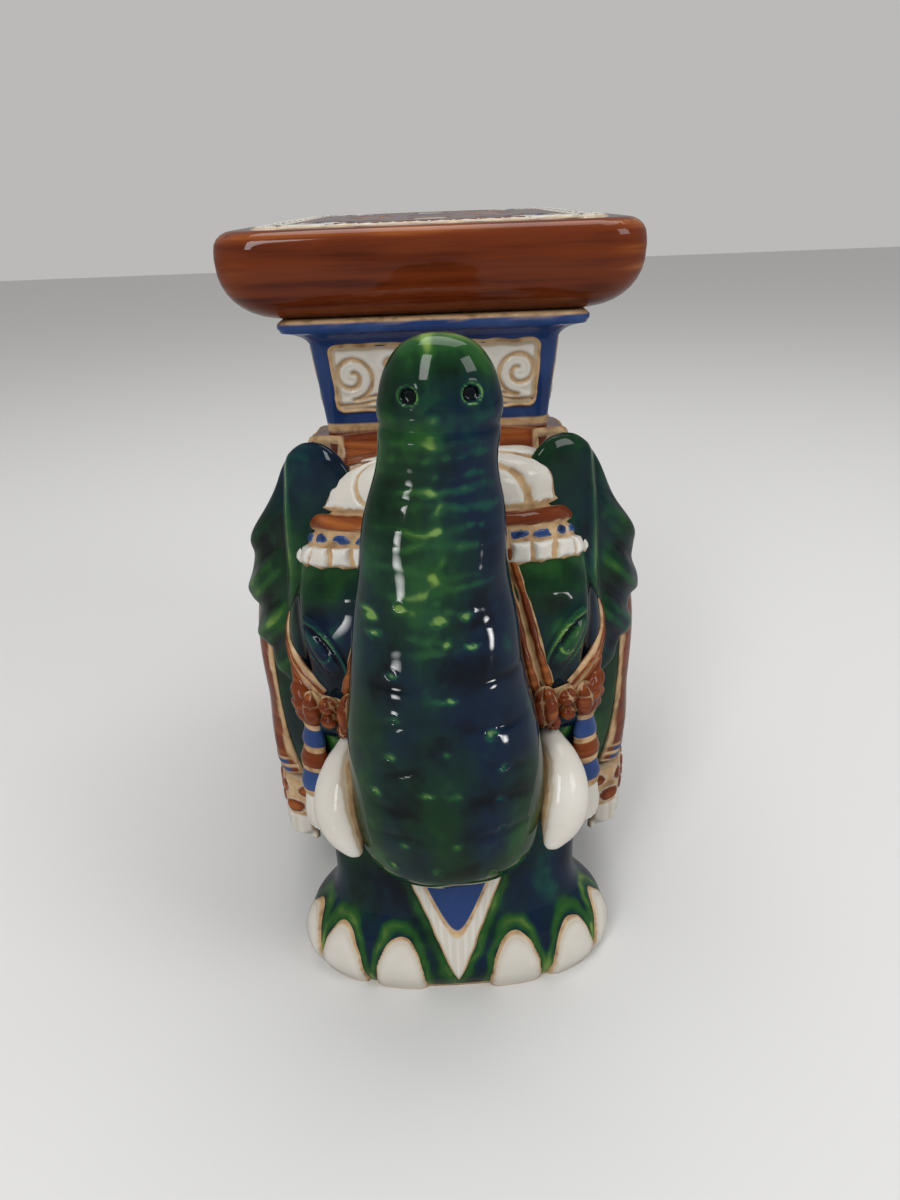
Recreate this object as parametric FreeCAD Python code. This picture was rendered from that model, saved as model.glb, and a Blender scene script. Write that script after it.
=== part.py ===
# Glazed earthenware elephant stool: a stubby elephant with a raised trunk carries a flared
# block and a cushion-shaped seat on its back. The hollow body is pressed in two halves that
# meet on the centre plane. Legs, head, trunk, ears, tusks and the relief are pressed by
# themselves and luted on before the firing, so each is a solid of its own that seats face to
# face on what carries it.
# The modelled forms are lofts with flat facets, a few in each quarter of a section.
# Frame: millimetres, +Z up, the elephant faces -Y and its left side is at +X. The last step
# puts the origin under the middle of the whole stool, on the floor.

import FreeCAD
import Part
import math
import os

V = FreeCAD.Vector
X_AXIS = V(1, 0, 0)
Z_AXIS = V(0, 0, 1)
ORIGIN = V(0, 0, 0)

# Facets in a quarter of a section: body, head, legs and trunk, and the small pieces
large_facets = 6
small_facets = 3
seat_facets = 6             # round each corner and each rounded edge of the seat
flat_tolerance = 0.0000001  # a quad this close to its plane stays one facet
round_share = 0.5523        # fullness of a quarter that is part of a circle

# Clay
wall = 7.0                  # wall of every hollow piece
overrun = 30.0              # how far a cutter runs past what it cuts
cloth_relief = 3.5          # how far the saddle cloth stands proud of the body
crumb_share = 0.15          # a cut-off bit smaller than this share of its piece is dropped
fringe_relief = 7.0         # the hem, tassels and their knots
strap_relief = 2.6          # bridle straps
cap_relief = 4.0            # headdress
nail_relief = 3.0           # toenails and the chest bib
panel_relief = 1.2          # scroll panels of the block

# Body: a barrel along Y, with its girth line where it is widest
body_front_y = -118.0
body_length = 312.0
body_half_width = 116.0
girth_height = 185.0
back_height = 313.0
belly_height = 44.0
body_fullness_up_share = 0.52
body_fullness_down_share = 0.78
# Along, half width, rise above the girth and drop below it
body_section_shares = (
    (0.00, 0.83, 0.900, 0.90),
    (0.025, 0.91, 0.945, 0.95),
    (0.08, 0.965, 0.975, 0.98),
    (0.19, 1.00, 0.995, 1.00),
    (0.36, 1.00, 1.000, 1.00),
    (0.56, 1.00, 1.000, 1.00),
    (0.76, 0.985, 1.000, 0.98),
    (0.89, 0.93, 0.980, 0.92),
    (0.965, 0.80, 0.880, 0.76),
    (1.00, 0.52, 0.580, 0.46),
)

# Head: a short dome in front of the barrel
head_length = 56.0
head_half_width = 88.0
cheek_height = 192.0
head_top = 312.0
head_bottom = 127.0
head_fullness_up_share = 0.60
head_fullness_down_share = 0.58
head_section_shares = (
    (0.00, 0.92, 0.960, 0.95),
    (0.30, 1.00, 1.000, 1.00),
    (0.62, 0.94, 0.955, 0.95),
    (0.86, 0.74, 0.800, 0.78),
    (1.00, 0.44, 0.540, 0.52),
)

# Feet and legs: each pair is one block that tapers to the ankle and swells into the body
foot_half_width = 93.0
front_foot_y = -150.0
front_foot_reach = 50.0
front_leg_top = 185.0
rear_foot_y = 146.0
rear_foot_reach = 47.0
rear_leg_top = 150.0
foot_fullness_share = 0.66
# Height, half width, reach forward and reach back
front_leg_section_shares = (
    (0.000, 0.93, 0.92, 0.92),
    (0.065, 1.00, 1.00, 1.00),
    (0.140, 0.975, 0.955, 0.96),
    (0.260, 0.80, 0.79, 0.84),
    (0.430, 0.78, 0.62, 0.82),
    (0.650, 0.84, 0.42, 0.86),
    (0.810, 0.80, 0.30, 0.86),
    (1.000, 0.62, 0.20, 0.70),
)
rear_leg_section_shares = (
    (0.00, 0.93, 0.92, 0.92),
    (0.08, 1.00, 1.00, 1.00),
    (0.17, 0.975, 0.96, 0.96),
    (0.32, 0.82, 0.84, 0.86),
    (0.53, 0.86, 0.86, 0.92),
    (0.73, 0.88, 0.84, 0.80),
    (1.00, 0.70, 0.70, 0.40),
)
leg_hollow_height = 122.0

# Toenails stand round the front of each foot block. The shares run along the quarter
# outline, from the side at 0 to the middle of the front at 1.
nail_width = 31.0
nail_height = 38.0
nail_place_shares = (0.14, 0.48, 0.79)

# Trunk: swells forward out of the face, turns up and stands in front of the forehead
trunk_front_y = -233.0
trunk_foot = 72.0           # underside of the bend
trunk_height = 308.0        # from the underside up to the top of the tip
trunk_depth = 82.0          # from the front back into the face
trunk_half_width = 51.0
trunk_fullness_share = 0.57
trunk_lean = -4.5           # the hand-built trunk leans to the elephant's right
# Height, front edge and rear edge in depths behind the front, half width and lean
trunk_section_shares = (
    (0.000, 0.695, 1.01, 0.38, 0.40),
    (0.012, 0.550, 1.01, 0.55, 0.40),
    (0.032, 0.390, 1.01, 0.71, 0.40),
    (0.062, 0.240, 1.01, 0.84, 0.40),
    (0.103, 0.115, 1.01, 0.935, 0.40),
    (0.163, 0.037, 1.01, 0.990, 0.40),
    (0.243, 0.000, 1.00, 1.010, 0.40),
    (0.342, 0.012, 0.93, 0.980, 0.65),
    (0.442, 0.030, 0.86, 0.890, 0.90),
    (0.545, 0.050, 0.80, 0.795, 1.00),
    (0.638, 0.060, 0.72, 0.715, 0.95),
    (0.741, 0.060, 0.62, 0.630, 0.55),
    (0.830, 0.045, 0.535, 0.530, 0.05),
    (0.900, 0.018, 0.505, 0.510, -0.40),
    (0.955, 0.035, 0.455, 0.445, -0.55),
    (0.988, 0.100, 0.370, 0.310, -0.55),
    (1.000, 0.170, 0.300, 0.160, -0.55),
)
nostril_radius = 3.2
nostril_depth = 5.0
nostril_spacing = 26.0
nostril_height_share = 0.925

# Tusks hug the sides of the trunk
tusk_radius = 12.5
tusk_root_height = 158.0
tusk_tip_height = 115.0
tusk_tip_y = -214.0
tusk_root_y = -166.0
# Across in trunk half widths, forward and down as shares of the way, radius
tusk_path_shares = (
    (1.07, 0.00, 0.00, 0.60),
    (1.14, 0.17, 0.10, 0.86),
    (1.18, 0.34, 0.24, 1.00),
    (1.19, 0.54, 0.42, 1.03),
    (1.16, 0.73, 0.62, 0.94),
    (1.08, 0.89, 0.82, 0.70),
    (0.99, 1.00, 1.00, 0.30),
)

# Ears: wavy fans, spread outward and back from the sides of the head
ear_foot = V(66.0, -134.0, 164.0)
ear_height = 154.0
ear_reach = 54.0
ear_root_depth = 30.0       # how far it runs into the head
ear_thickness = 11.0
ear_sweep_back = 26.0       # degrees
ear_fullness_share = 0.70
# Height, inner edge in root depths and outer edge in reaches
ear_section_shares = (
    (0.00, -0.30, 0.38),
    (0.05, 0.00, 0.54),
    (0.13, 0.60, 0.76),
    (0.24, 1.00, 0.93),
    (0.38, 1.00, 1.00),
    (0.50, 1.00, 0.98),
    (0.60, 1.00, 0.86),
    (0.72, 1.00, 0.68),
    (0.84, 1.00, 0.46),
    (0.94, 1.00, 0.27),
    (1.00, 1.00, 0.00),
)

# Headdress: a cap over the forehead with a rolled band above its hem
cap_hem_height = 245.0
cap_hem_tilt = 14.0         # degrees, higher in front
band_height = 20.0          # from the hem up to the band
band_width = 7.5
band_relief = 5.6
pad_relief = 10.0           # the puffed pads above the band

# Bridle: a cheek strap, a strap beside the trunk, and a ring of knots above the tusk
strap_width = 8.0
cheek_strap_top = V(0.0, -121.0, 250.0)
cheek_strap_foot = V(0.0, -150.0, 176.0)
face_strap_top = V(33.0, 0.0, 262.0)
face_strap_foot = V(51.0, 0.0, 178.0)
ball_angles = (-75.0, -45.0, -15.0, 15.0, 45.0, 75.0)
knot_height = 175.0
knot_length = 10.0
# Across in head half widths, size in knot lengths
knot_shares = ((0.56, 1.15), (0.70, 0.80), (0.81, 1.00))

# Saddle cloth: skirt down both flanks, top margin round the block, tongue on the neck
cloth_front_y = -112.0
cloth_rear_y = 124.0
cloth_hem_height = 92.0
cloth_shoulder_height = 190.0
cloth_shoulder_back = 28.0  # how far the front edge sweeps back above the shoulder
cloth_margin = 9.0
cloth_top_height = 276.0
tongue_end_half_width = 47.0
fringe_foot_height = 48.0
fringe_thickness = 9.0

# Shoulder tassels on the front legs
tassel_turn = 7.0           # degrees from straight out towards the front
tassel_y = -147.0
tassel_top = 156.0
tassel_foot = 66.0
tassel_top_width = 9.0
tassel_width = 26.0

# Chest bib between the front feet
bib_top = 78.0
bib_point = 8.0
bib_half_width = 31.0
bib_border = 14.0

# Block: flared box between the back and the seat
block_height = 61.0
block_front_y = -86.0
block_width = 126.0
block_length = 262.0
block_flare = 5.0           # each side, from the foot up to the neck
flange_overhang = 19.0
flange_lip = 4.0
flange_cove = 12.0
cove_angles = (0.0, 25.0, 45.0, 65.0, 90.0)
block_corner_radius = 7.0
block_inner_radius = 2.0
block_skirt = 42.0          # how far its walls reach down over the sides of the back
panel_margin = 7.0
panel_bottom_margin = 9.0

# Seat: cushion-shaped slab with an inlaid top
seat_overhang = 30.0        # past the block's foot, in front and behind
seat_width = 223.0
seat_thickness = 45.0
seat_corner_radius = 30.0
seat_top_round = 9.0
seat_inner_round = 12.0
seat_least_corner = 2.0     # radius that is left at the corners of the flat underside
seat_flat_margin = 1.5      # the flat underside reaches this far past the block's flange
inlay_margin = 17.0
inlay_corner_radius = 20.0
inlay_recess = 1.5
inlay_thickness = 2.5

# Tail: hangs down the rump and ends in a tuft
tail_root_height = 262.0
tail_drop = 178.0
tail_radius = 7.0
tail_swing = 15.0
# Drop, swing, distance behind the end of the body in tail radii, radius
tail_path_shares = (
    (0.00, 0.00, -1.60, 1.35),
    (0.14, 0.20, -0.10, 1.15),
    (0.34, 0.60, 0.75, 1.00),
    (0.56, 0.90, 0.85, 0.90),
    (0.74, 1.00, 0.45, 1.00),
    (0.87, 1.00, 0.00, 1.45),
    (1.00, 1.00, -0.60, 0.55),
)

# Derived places
block_top = back_height + block_height
seat_top = block_top + seat_thickness
block_mid_y = block_front_y + block_length / 2
seat_length = block_length + 2 * seat_overhang
flange_reach = block_width / 2 + flange_overhang
seat_bottom_round = min(seat_corner_radius - seat_least_corner,
                        seat_width / 2 - flange_reach - seat_flat_margin)
body_rear_y = body_front_y + body_length
far = body_length + head_length   # longer than any section is across
right_angle = 90.0


def quarter(centre, start, end, fullness_share):
    """The curve of a quarter of a section, from centre + start to centre + end."""
    curve = Part.BezierCurve()
    curve.setPoles([
        centre + start,
        centre + start + end * fullness_share,
        centre + end + start * fullness_share,
        centre + end,
    ])
    return curve


def quarter_points(centre, start, end, fullness_share, facets):
    curve = quarter(centre, start, end, fullness_share)
    return [curve.value(i / facets) for i in range(facets)]


def ring(centre, side, up, down, full_up_share, full_down_share, facets=large_facets):
    """The corner points of a closed section round centre, alike on both sides."""
    return (quarter_points(centre, side, up, full_up_share, facets)
            + quarter_points(centre, up, -side, full_up_share, facets)
            + quarter_points(centre, -side, down, full_down_share, facets)
            + quarter_points(centre, down, side, full_down_share, facets))


def half_ring(centre, side, up, down, full_up_share, full_down_share):
    """The left half of a section, closed by a straight line on the centre plane."""
    return (quarter_points(centre, down, side, full_down_share, large_facets)
            + quarter_points(centre, side, up, full_up_share, large_facets)
            + [centre + up])


def round_ring(centre, along, radius):
    """A round section square to the line of travel."""
    side = (X_AXIS - along * (X_AXIS.dot(along) / along.dot(along))).normalize() * radius
    up = along.cross(side).normalize() * radius
    return ring(centre, side, up, -up, round_share, round_share, small_facets)


def facet(points):
    return Part.Face(Part.makePolygon(points + [points[0]]))


def quad(a, b, c, d):
    """One facet if the four points are in a plane, else two along the shorter diagonal."""
    normal = (b - a).cross(c - a)
    if abs(normal.dot(d - a)) <= flat_tolerance * normal.Length:
        return [facet([a, b, c, d])]
    if (a - c).Length <= (b - d).Length:
        return [facet([a, b, c]), facet([a, c, d])]
    return [facet([a, b, d]), facet([b, c, d])]


def loft(sections):
    """A closed solid with flat facets through sections of equally many points."""
    faces = [facet(sections[0]), facet(sections[-1])]
    for near, next_one in zip(sections, sections[1:]):
        for i in range(len(near)):
            j = (i + 1) % len(near)
            faces += quad(near[i], near[j], next_one[j], next_one[i])
    shell = Part.Shell(faces)
    shell.sewShape()
    solid = Part.Solid(shell)
    if solid.Volume < 0:
        solid.reverse()
    return solid


def box(low, high):
    size = high - low
    return Part.makeBox(size.x, size.y, size.z, low)


def prism(points, direction):
    """A straight-sided solid from a flat outline."""
    return facet(points).extrude(direction)


def biggest(shape):
    """The main solid of a cut, without the crumbs that it leaves inside other pieces."""
    return max(shape.Solids, key=lambda solid: solid.Volume)


def mirrored(shape):
    return shape.mirror(ORIGIN, X_AXIS)


def relief_pad(carrier, thickness):
    """A pad over the whole of the carrier's surface, as thick as stated."""
    return carrier(thickness).cut(carrier(0))


def relief(carrier, thickness, cutter):
    """A pad that follows the carrier's surface within the cutter."""
    return carrier(thickness).common(cutter).cut(carrier(0))


def body_sections(section, grow, end_shift):
    sections = []
    last = len(body_section_shares) - 1
    for i, (along, across, rise, drop) in enumerate(body_section_shares):
        shift = -end_shift if i == 0 else (end_shift if i == last else 0)
        centre = V(0, body_front_y + along * body_length + shift, girth_height)
        sections.append(section(
            centre,
            X_AXIS * (across * body_half_width + grow),
            Z_AXIS * (rise * (back_height - girth_height) + grow),
            Z_AXIS * -(drop * (girth_height - belly_height) + grow),
            body_fullness_up_share,
            body_fullness_down_share,
        ))
    return sections


def body(grow):
    return loft(body_sections(ring, grow, 0))


def torso_half():
    hollow = loft(body_sections(ring, -wall, -wall))
    return loft(body_sections(half_ring, 0, 0)).cut(hollow)


def head(grow):
    sections = []
    last = len(head_section_shares) - 1
    for i, (along, across, rise, drop) in enumerate(head_section_shares):
        shift = grow if i == last else 0
        sections.append(ring(
            V(0, body_front_y - along * head_length - shift, cheek_height),
            X_AXIS * (across * head_half_width + grow),
            Z_AXIS * (rise * (head_top - cheek_height) + grow),
            Z_AXIS * -(drop * (cheek_height - head_bottom) + grow),
            head_fullness_up_share,
            head_fullness_down_share,
        ))
    return loft(sections)


def head_shell():
    hollow = head(-wall).cut(box(V(-far, body_front_y - wall, 0), V(far, far, far)))
    return head(0).cut(hollow)


def leg_sections(section, rows, top, middle_y, reach, grow, low, high):
    sections = []
    for height, across, forward, back in rows:
        z = height * top
        if low <= z <= high:
            sections.append(section(
                V(0, middle_y, z),
                X_AXIS * (across * foot_half_width + grow),
                V(0, -(forward * reach + grow), 0),
                V(0, back * reach + grow, 0),
                foot_fullness_share,
                foot_fullness_share,
            ))
    return sections


def front_legs(grow):
    return loft(leg_sections(ring, front_leg_section_shares, front_leg_top,
                             front_foot_y, front_foot_reach, grow, 0, front_leg_top))


def rear_legs(grow):
    return loft(leg_sections(ring, rear_leg_section_shares, rear_leg_top,
                             rear_foot_y, rear_foot_reach, grow, 0, rear_leg_top))


def leg_half(rows, top, middle_y, reach):
    outer = loft(leg_sections(half_ring, rows, top, middle_y, reach, 0, 0, top))
    hollow = loft(leg_sections(ring, rows, top, middle_y, reach, -wall, 0, leg_hollow_height))
    return outer.cut(hollow)


def toenails(carrier, middle_y, reach):
    """Arched nails on the left foot, each cut out of a pad that follows the foot."""
    pad = relief_pad(carrier, nail_relief)
    outline = quarter(V(0, middle_y, 0), X_AXIS * foot_half_width, V(0, -reach, 0),
                      foot_fullness_share)
    nails = []
    for share in nail_place_shares:
        along = outline.tangent(share)[0] * (nail_width / 2)
        out = Z_AXIS.cross(along).normalize() * nail_width
        arch = ring(outline.value(share) - out, along, Z_AXIS * nail_height, -Z_AXIS * nail_height,
                    round_share, round_share, small_facets)
        nails.append(biggest(pad.common(prism(arch, out * 2))))
    return Part.Compound(nails)


def trunk_form(grow):
    sections = []
    for height, front, rear, across, lean in trunk_section_shares:
        z = height * trunk_height
        thickness = (rear - front) / 2 * trunk_depth + grow
        if -grow <= z <= trunk_height + grow and thickness > 0:
            sections.append(ring(
                V(lean * trunk_lean, trunk_front_y + (front + rear) / 2 * trunk_depth,
                  trunk_foot + z),
                X_AXIS * (across * trunk_half_width + grow),
                V(0, thickness, 0),
                V(0, -thickness, 0),
                trunk_fullness_share,
                trunk_fullness_share,
            ))
    return loft(sections)


def trunk():
    hollow = trunk_form(-wall).cut(head(wall)).cut(front_legs(wall))
    solid = trunk_form(0).cut(hollow)
    height = trunk_foot + nostril_height_share * trunk_height
    for side in (-1, 1):
        start = V(side * nostril_spacing / 2, trunk_front_y - overrun, height)
        hole = Part.makeCylinder(
            nostril_radius, overrun + nostril_depth, start, V(0, 1, 0))
        solid = solid.cut(hole)
    return solid


def rod(path):
    """A round form along a path of places, each with its radius."""
    sections = []
    for i, (place, radius) in enumerate(path):
        before = path[max(i - 1, 0)][0]
        after = path[min(i + 1, len(path) - 1)][0]
        sections.append(round_ring(place, after - before, radius))
    return loft(sections)


def tusk():
    path = []
    for across, forward, down, radius in tusk_path_shares:
        path.append((V(
            across * trunk_half_width,
            tusk_root_y + forward * (tusk_tip_y - tusk_root_y),
            tusk_root_height + down * (tusk_tip_height - tusk_root_height),
        ), radius * tusk_radius))
    return rod(path)


def ear():
    sweep = math.radians(ear_sweep_back)
    outward = V(math.cos(sweep), math.sin(sweep), 0)
    normal = V(math.sin(sweep), -math.cos(sweep), 0)
    sections = []
    for height, inner_share, outer_share in ear_section_shares:
        inner = -inner_share * ear_root_depth
        outer = outer_share * ear_reach
        sections.append(ring(
            ear_foot + Z_AXIS * (height * ear_height) + outward * ((outer + inner) / 2),
            outward * ((outer - inner) / 2),
            normal * (ear_thickness / 2),
            normal * (-ear_thickness / 2),
            ear_fullness_share,
            ear_fullness_share,
        ))
    return loft(sections)


def cap_region(low, high):
    """The part of the head between two levels, counted from the tilted hem."""
    region = box(V(-far, -far, low), V(far, far, high))
    region.rotate(ORIGIN, X_AXIS, -cap_hem_tilt)
    region.translate(V(0, body_front_y, cap_hem_height))
    return region


def headdress():
    """The cap's hem and its puffed pads, and the band that divides them, in front of the body."""
    front = box(V(-far, -far, 0), V(far, body_front_y, far))
    pads_height = band_height + band_width
    hem = relief(head, cap_relief, cap_region(0, band_height)).common(front)
    band = relief(head, band_relief, cap_region(band_height, pads_height)).common(front)
    pads = relief(head, pad_relief, cap_region(pads_height, far)).common(front)
    return Part.Compound([hem, pads]), band


def headdress_space():
    """What the hem and band fill and what the pads fill, with the head inside them."""
    pads_height = band_height + band_width
    return [head(band_relief).common(cap_region(0, pads_height)),
            head(pad_relief).common(cap_region(pads_height, far))]


def ball(centre, radius):
    sections = []
    for degrees in ball_angles:
        turn = math.radians(degrees)
        sections.append(round_ring(
            centre + Z_AXIS * (radius * math.sin(turn)), Z_AXIS, radius * math.cos(turn)))
    return loft(sections)


def strap_slab(top, foot, direction):
    """A flat slab along the line from top to foot, as wide as a strap."""
    along = (foot - top).normalize()
    across = along.cross(direction) * (strap_width / 2)
    points = [top + across, foot + across, foot - across, top - across]
    points = [p - direction * far for p in points]
    return prism(points, direction * (2 * far))


def bridle():
    left = box(V(strap_width / 2, -far, 0), V(far, body_front_y, far))
    cheek = relief(head, strap_relief,
                   strap_slab(cheek_strap_top, cheek_strap_foot, X_AXIS).common(left))
    face = relief(head, strap_relief,
                  strap_slab(face_strap_top, face_strap_foot, V(0, 1, 0)).common(left))
    pieces = [biggest(cheek), biggest(face)]
    for across_share, size_share in knot_shares:
        across = across_share * head_half_width
        line = Part.makeLine(V(across, -far, knot_height), V(across, body_front_y, knot_height))
        front_y = head(0).common(line).BoundBox.YMin
        knot = ball(V(across, front_y, knot_height), size_share * knot_length).cut(head(0))
        for piece in pieces:
            knot = knot.cut(piece)
        pieces.append(biggest(knot))
    return Part.Compound(pieces)


def rounded_rectangle(width, length, radius, z, facets):
    """The corner points of an outline with round corners, centred on the block."""
    half_w = width / 2 - radius
    half_l = length / 2 - radius
    points = []
    for across, along in ((1, 1), (-1, 1), (-1, -1), (1, -1)):
        centre = V(across * half_w, block_mid_y + along * half_l, z)
        start = V(across * radius, 0, 0) if across == along else V(0, along * radius, 0)
        end = V(0, along * radius, 0) if across == along else V(across * radius, 0, 0)
        points += quarter_points(centre, start, end, round_share, facets)
        points.append(centre + end)
    return points


def block_solid(grow):
    """The block's outer form, standing down into the back."""
    levels = [(-block_skirt, 0), (0, 0)]
    for degrees in cove_angles:
        turn = math.radians(degrees)
        levels.append((
            block_height - flange_lip - flange_cove * (1 - math.sin(turn)),
            block_flare + (flange_overhang - block_flare) * (1 - math.cos(turn)),
        ))
    levels.append((block_height, flange_overhang))
    sections = []
    for level, spread in levels:
        sections.append(rounded_rectangle(
            block_width + 2 * (spread + grow),
            block_length + 2 * (spread + grow),
            max(block_corner_radius + grow, block_inner_radius),
            back_height + level,
            small_facets,
        ))
    return loft(sections)


def block_shell():
    return block_solid(0).cut(block_solid(-wall))


def block_panels():
    """Four plates for the scroll work, one on each face of the block."""
    low = back_height + panel_bottom_margin
    high = block_top - flange_lip - flange_cove - panel_relief
    half_w = block_width / 2 - panel_margin
    half_l = block_length / 2 - panel_margin
    plates = []
    for half, direction in ((half_w, V(0, -1, 0)), (half_w, V(0, 1, 0)),
                            (half_l, X_AXIS), (half_l, -X_AXIS)):
        across = Z_AXIS.cross(direction)
        middle = V(0, block_mid_y, 0)
        points = [middle - across * half + Z_AXIS * low, middle + across * half + Z_AXIS * low,
                  middle + across * half + Z_AXIS * high, middle - across * half + Z_AXIS * high]
        plates.append(relief(block_solid, panel_relief, prism(points, direction * far)))
    return Part.Compound([biggest(plate) for plate in plates])


def seat_form(grow, bottom_round, top_round):
    """The slab, with its edges rounded step by step from the underside to the top."""
    steps = []
    for i in range(seat_facets + 1):
        turn = math.radians(right_angle) * i / seat_facets
        steps.append((bottom_round * (1 - math.sin(turn)), bottom_round * (1 - math.cos(turn))))
    for i in range(seat_facets + 1):
        turn = math.radians(right_angle) * i / seat_facets
        steps.append((top_round * (1 - math.cos(turn)),
                      seat_thickness + 2 * grow - top_round * (1 - math.sin(turn))))
    sections = []
    for inward, rise in steps:
        spread = 2 * (grow - inward)
        sections.append(rounded_rectangle(
            seat_width + spread, seat_length + spread,
            seat_corner_radius + grow - inward, block_top - grow + rise, seat_facets))
    return loft(sections)


def seat_inlay():
    outline = rounded_rectangle(
        seat_width - 2 * inlay_margin, seat_length - 2 * inlay_margin,
        inlay_corner_radius, seat_top - inlay_recess, seat_facets)
    return prism(outline, Z_AXIS * inlay_thickness)


def seat_slab(inlay):
    cavity = seat_form(-wall, seat_inner_round, seat_inner_round)
    return seat_form(0, seat_bottom_round, seat_top_round).cut(cavity).cut(inlay)


def cloth_region():
    swept_y = cloth_front_y + cloth_shoulder_back
    roof = back_height + overrun
    side = prism([
        V(-far, cloth_front_y, cloth_hem_height),
        V(-far, cloth_front_y, cloth_shoulder_height),
        V(-far, swept_y, cloth_top_height),
        V(-far, swept_y, roof),
        V(-far, cloth_rear_y, roof),
        V(-far, cloth_rear_y, cloth_hem_height),
    ], X_AXIS * (2 * far))
    half = block_width / 2 + cloth_margin
    top = box(V(-half, block_front_y - cloth_margin, cloth_top_height),
              V(half, block_front_y + block_length + cloth_margin, roof))
    end = tongue_end_half_width
    tongue = prism([
        V(-half, block_front_y - cloth_margin, cloth_top_height),
        V(half, block_front_y - cloth_margin, cloth_top_height),
        V(end, body_front_y, cloth_top_height),
        V(-end, body_front_y, cloth_top_height),
    ], Z_AXIS * (roof - cloth_top_height))
    return side.fuse(top).fuse(tongue)


def hem_fringe():
    """A curtain that hangs straight down from the hem of the cloth."""
    outer = Part.Face(body(fringe_relief).slice(Z_AXIS, cloth_hem_height)[0])
    inner = Part.Face(body(fringe_relief - fringe_thickness).slice(Z_AXIS, cloth_hem_height)[0])
    drop = Z_AXIS * (fringe_foot_height - cloth_hem_height)
    region = box(V(0, cloth_front_y, 0), V(far, cloth_rear_y, cloth_hem_height))
    curtain = outer.extrude(drop).cut(inner.extrude(drop))
    return curtain.common(region)


def shoulder_tassel():
    outline = [
        V(0, -tassel_top_width / 2, tassel_top),
        V(0, tassel_top_width / 2, tassel_top),
        V(0, tassel_width / 2, tassel_foot),
        V(0, -tassel_width / 2, tassel_foot),
    ]
    region = prism(outline, X_AXIS * far)
    region.rotate(ORIGIN, Z_AXIS, -tassel_turn)
    region.translate(V(0, tassel_y, 0))
    return relief(front_legs, fringe_relief, region)


def bib_region(half_width, top, point):
    return prism([
        V(-half_width, -far, top),
        V(half_width, -far, top),
        V(0, -far, point),
    ], V(0, far + front_foot_y, 0))


def chest_bib():
    """The pointed bib: a white border and the blue field inside it."""
    whole = bib_region(bib_half_width, bib_top, bib_point)
    inner_share = (bib_half_width - bib_border) / bib_half_width
    field = bib_region(bib_half_width * inner_share, bib_top,
                       bib_top - (bib_top - bib_point) * inner_share)
    pad = relief(front_legs, nail_relief, whole)
    return pad.cut(field), pad.common(field)


def tail():
    path = []
    for drop, swing, behind, radius in tail_path_shares:
        path.append((V(
            swing * tail_swing,
            body_rear_y + behind * tail_radius,
            tail_root_height - drop * tail_drop,
        ), radius * tail_radius))
    return rod(path)


def seated(form, carriers):
    """The form cut back to what is there already, so that it seats face to face."""
    solids = []
    for whole in form.Solids:
        left_over = whole.cut(carriers)
        least = crumb_share * biggest(left_over).Volume
        solids += [solid for solid in left_over.Solids if solid.Volume > least]
    return solids[0] if len(solids) == 1 else Part.Compound(solids)


def make_stool():
    """Every piece by name, in the order in which the stool is put together."""
    pieces = {}

    def pair(name, left_form, carriers):
        pieces["left_" + name] = seated(left_form, carriers)
        pieces["right_" + name] = seated(mirrored(left_form), carriers)

    barrel = body(0)
    core = barrel.fuse(head(0))
    half = torso_half()
    pieces["left_torso_half"] = half
    pieces["right_torso_half"] = mirrored(half)
    pieces["head"] = head_shell()
    pair("front_leg", leg_half(front_leg_section_shares, front_leg_top,
                               front_foot_y, front_foot_reach), [core])
    pair("rear_leg", leg_half(rear_leg_section_shares, rear_leg_top,
                              rear_foot_y, rear_foot_reach), [barrel])
    pair("front_toenails", toenails(front_legs, front_foot_y, front_foot_reach), [core])
    pair("rear_toenails", toenails(rear_legs, rear_foot_y, rear_foot_reach), [barrel])

    raised_trunk = trunk_form(0)
    trunk_carriers = [core, front_legs(0)]
    pieces["trunk"] = seated(trunk(), trunk_carriers)
    border, field = chest_bib()
    pieces["chest_bib_border"] = seated(border, [core, raised_trunk])
    pieces["chest_bib_field"] = seated(field, [core, raised_trunk])
    pair("tusk", tusk(), [core, raised_trunk, front_legs(0)])

    cap, band = headdress()
    pieces["headdress"] = seated(cap, [raised_trunk])
    pieces["headdress_band"] = seated(band, [raised_trunk])
    tusks = pieces["left_tusk"].fuse(pieces["right_tusk"])
    pair("bridle", bridle(), [barrel, *headdress_space(), raised_trunk, tusks])

    pieces["saddle_cloth"] = relief(body, cloth_relief, cloth_region())
    bridles = Part.Compound([pieces["left_bridle"], pieces["right_bridle"]])
    pair("ear", ear(), [core, *headdress_space(), bridles, pieces["saddle_cloth"]])
    pair("hem_fringe", hem_fringe(), [barrel])
    fringes = Part.Compound([pieces["left_hem_fringe"], pieces["right_hem_fringe"]])
    pair("shoulder_tassel", shoulder_tassel(), [core, raised_trunk, tusks, fringes])

    pieces["saddle_block"] = seated(block_shell(), [body(cloth_relief)])
    pieces["block_panels"] = block_panels()
    inlay = seat_inlay()
    pieces["seat_slab"] = seat_slab(inlay)
    pieces["seat_inlay"] = inlay
    pieces["tail"] = seated(tail(), [barrel, pieces["saddle_cloth"]])
    return pieces


def main():
    os.makedirs("parts", exist_ok=True)
    pieces = make_stool()
    whole = Part.Compound(list(pieces.values())).BoundBox
    to_middle = V(0, -(whole.YMin + whole.YMax) / 2, 0)
    for name, piece in pieces.items():
        placed = piece.copy()
        placed.translate(to_middle)
        placed.exportStep(os.path.join("parts", name + ".step"))
        print(name, "solids", len(piece.Solids), "valid", piece.isValid(),
              "cm3", round(piece.Volume / 1000, 1))
    print("moved along Y by", round(to_middle.y, 2))
    print("size", [round(x, 1) for x in (whole.XLength, whole.YLength, whole.ZLength)])


main()
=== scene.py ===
import math

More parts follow.
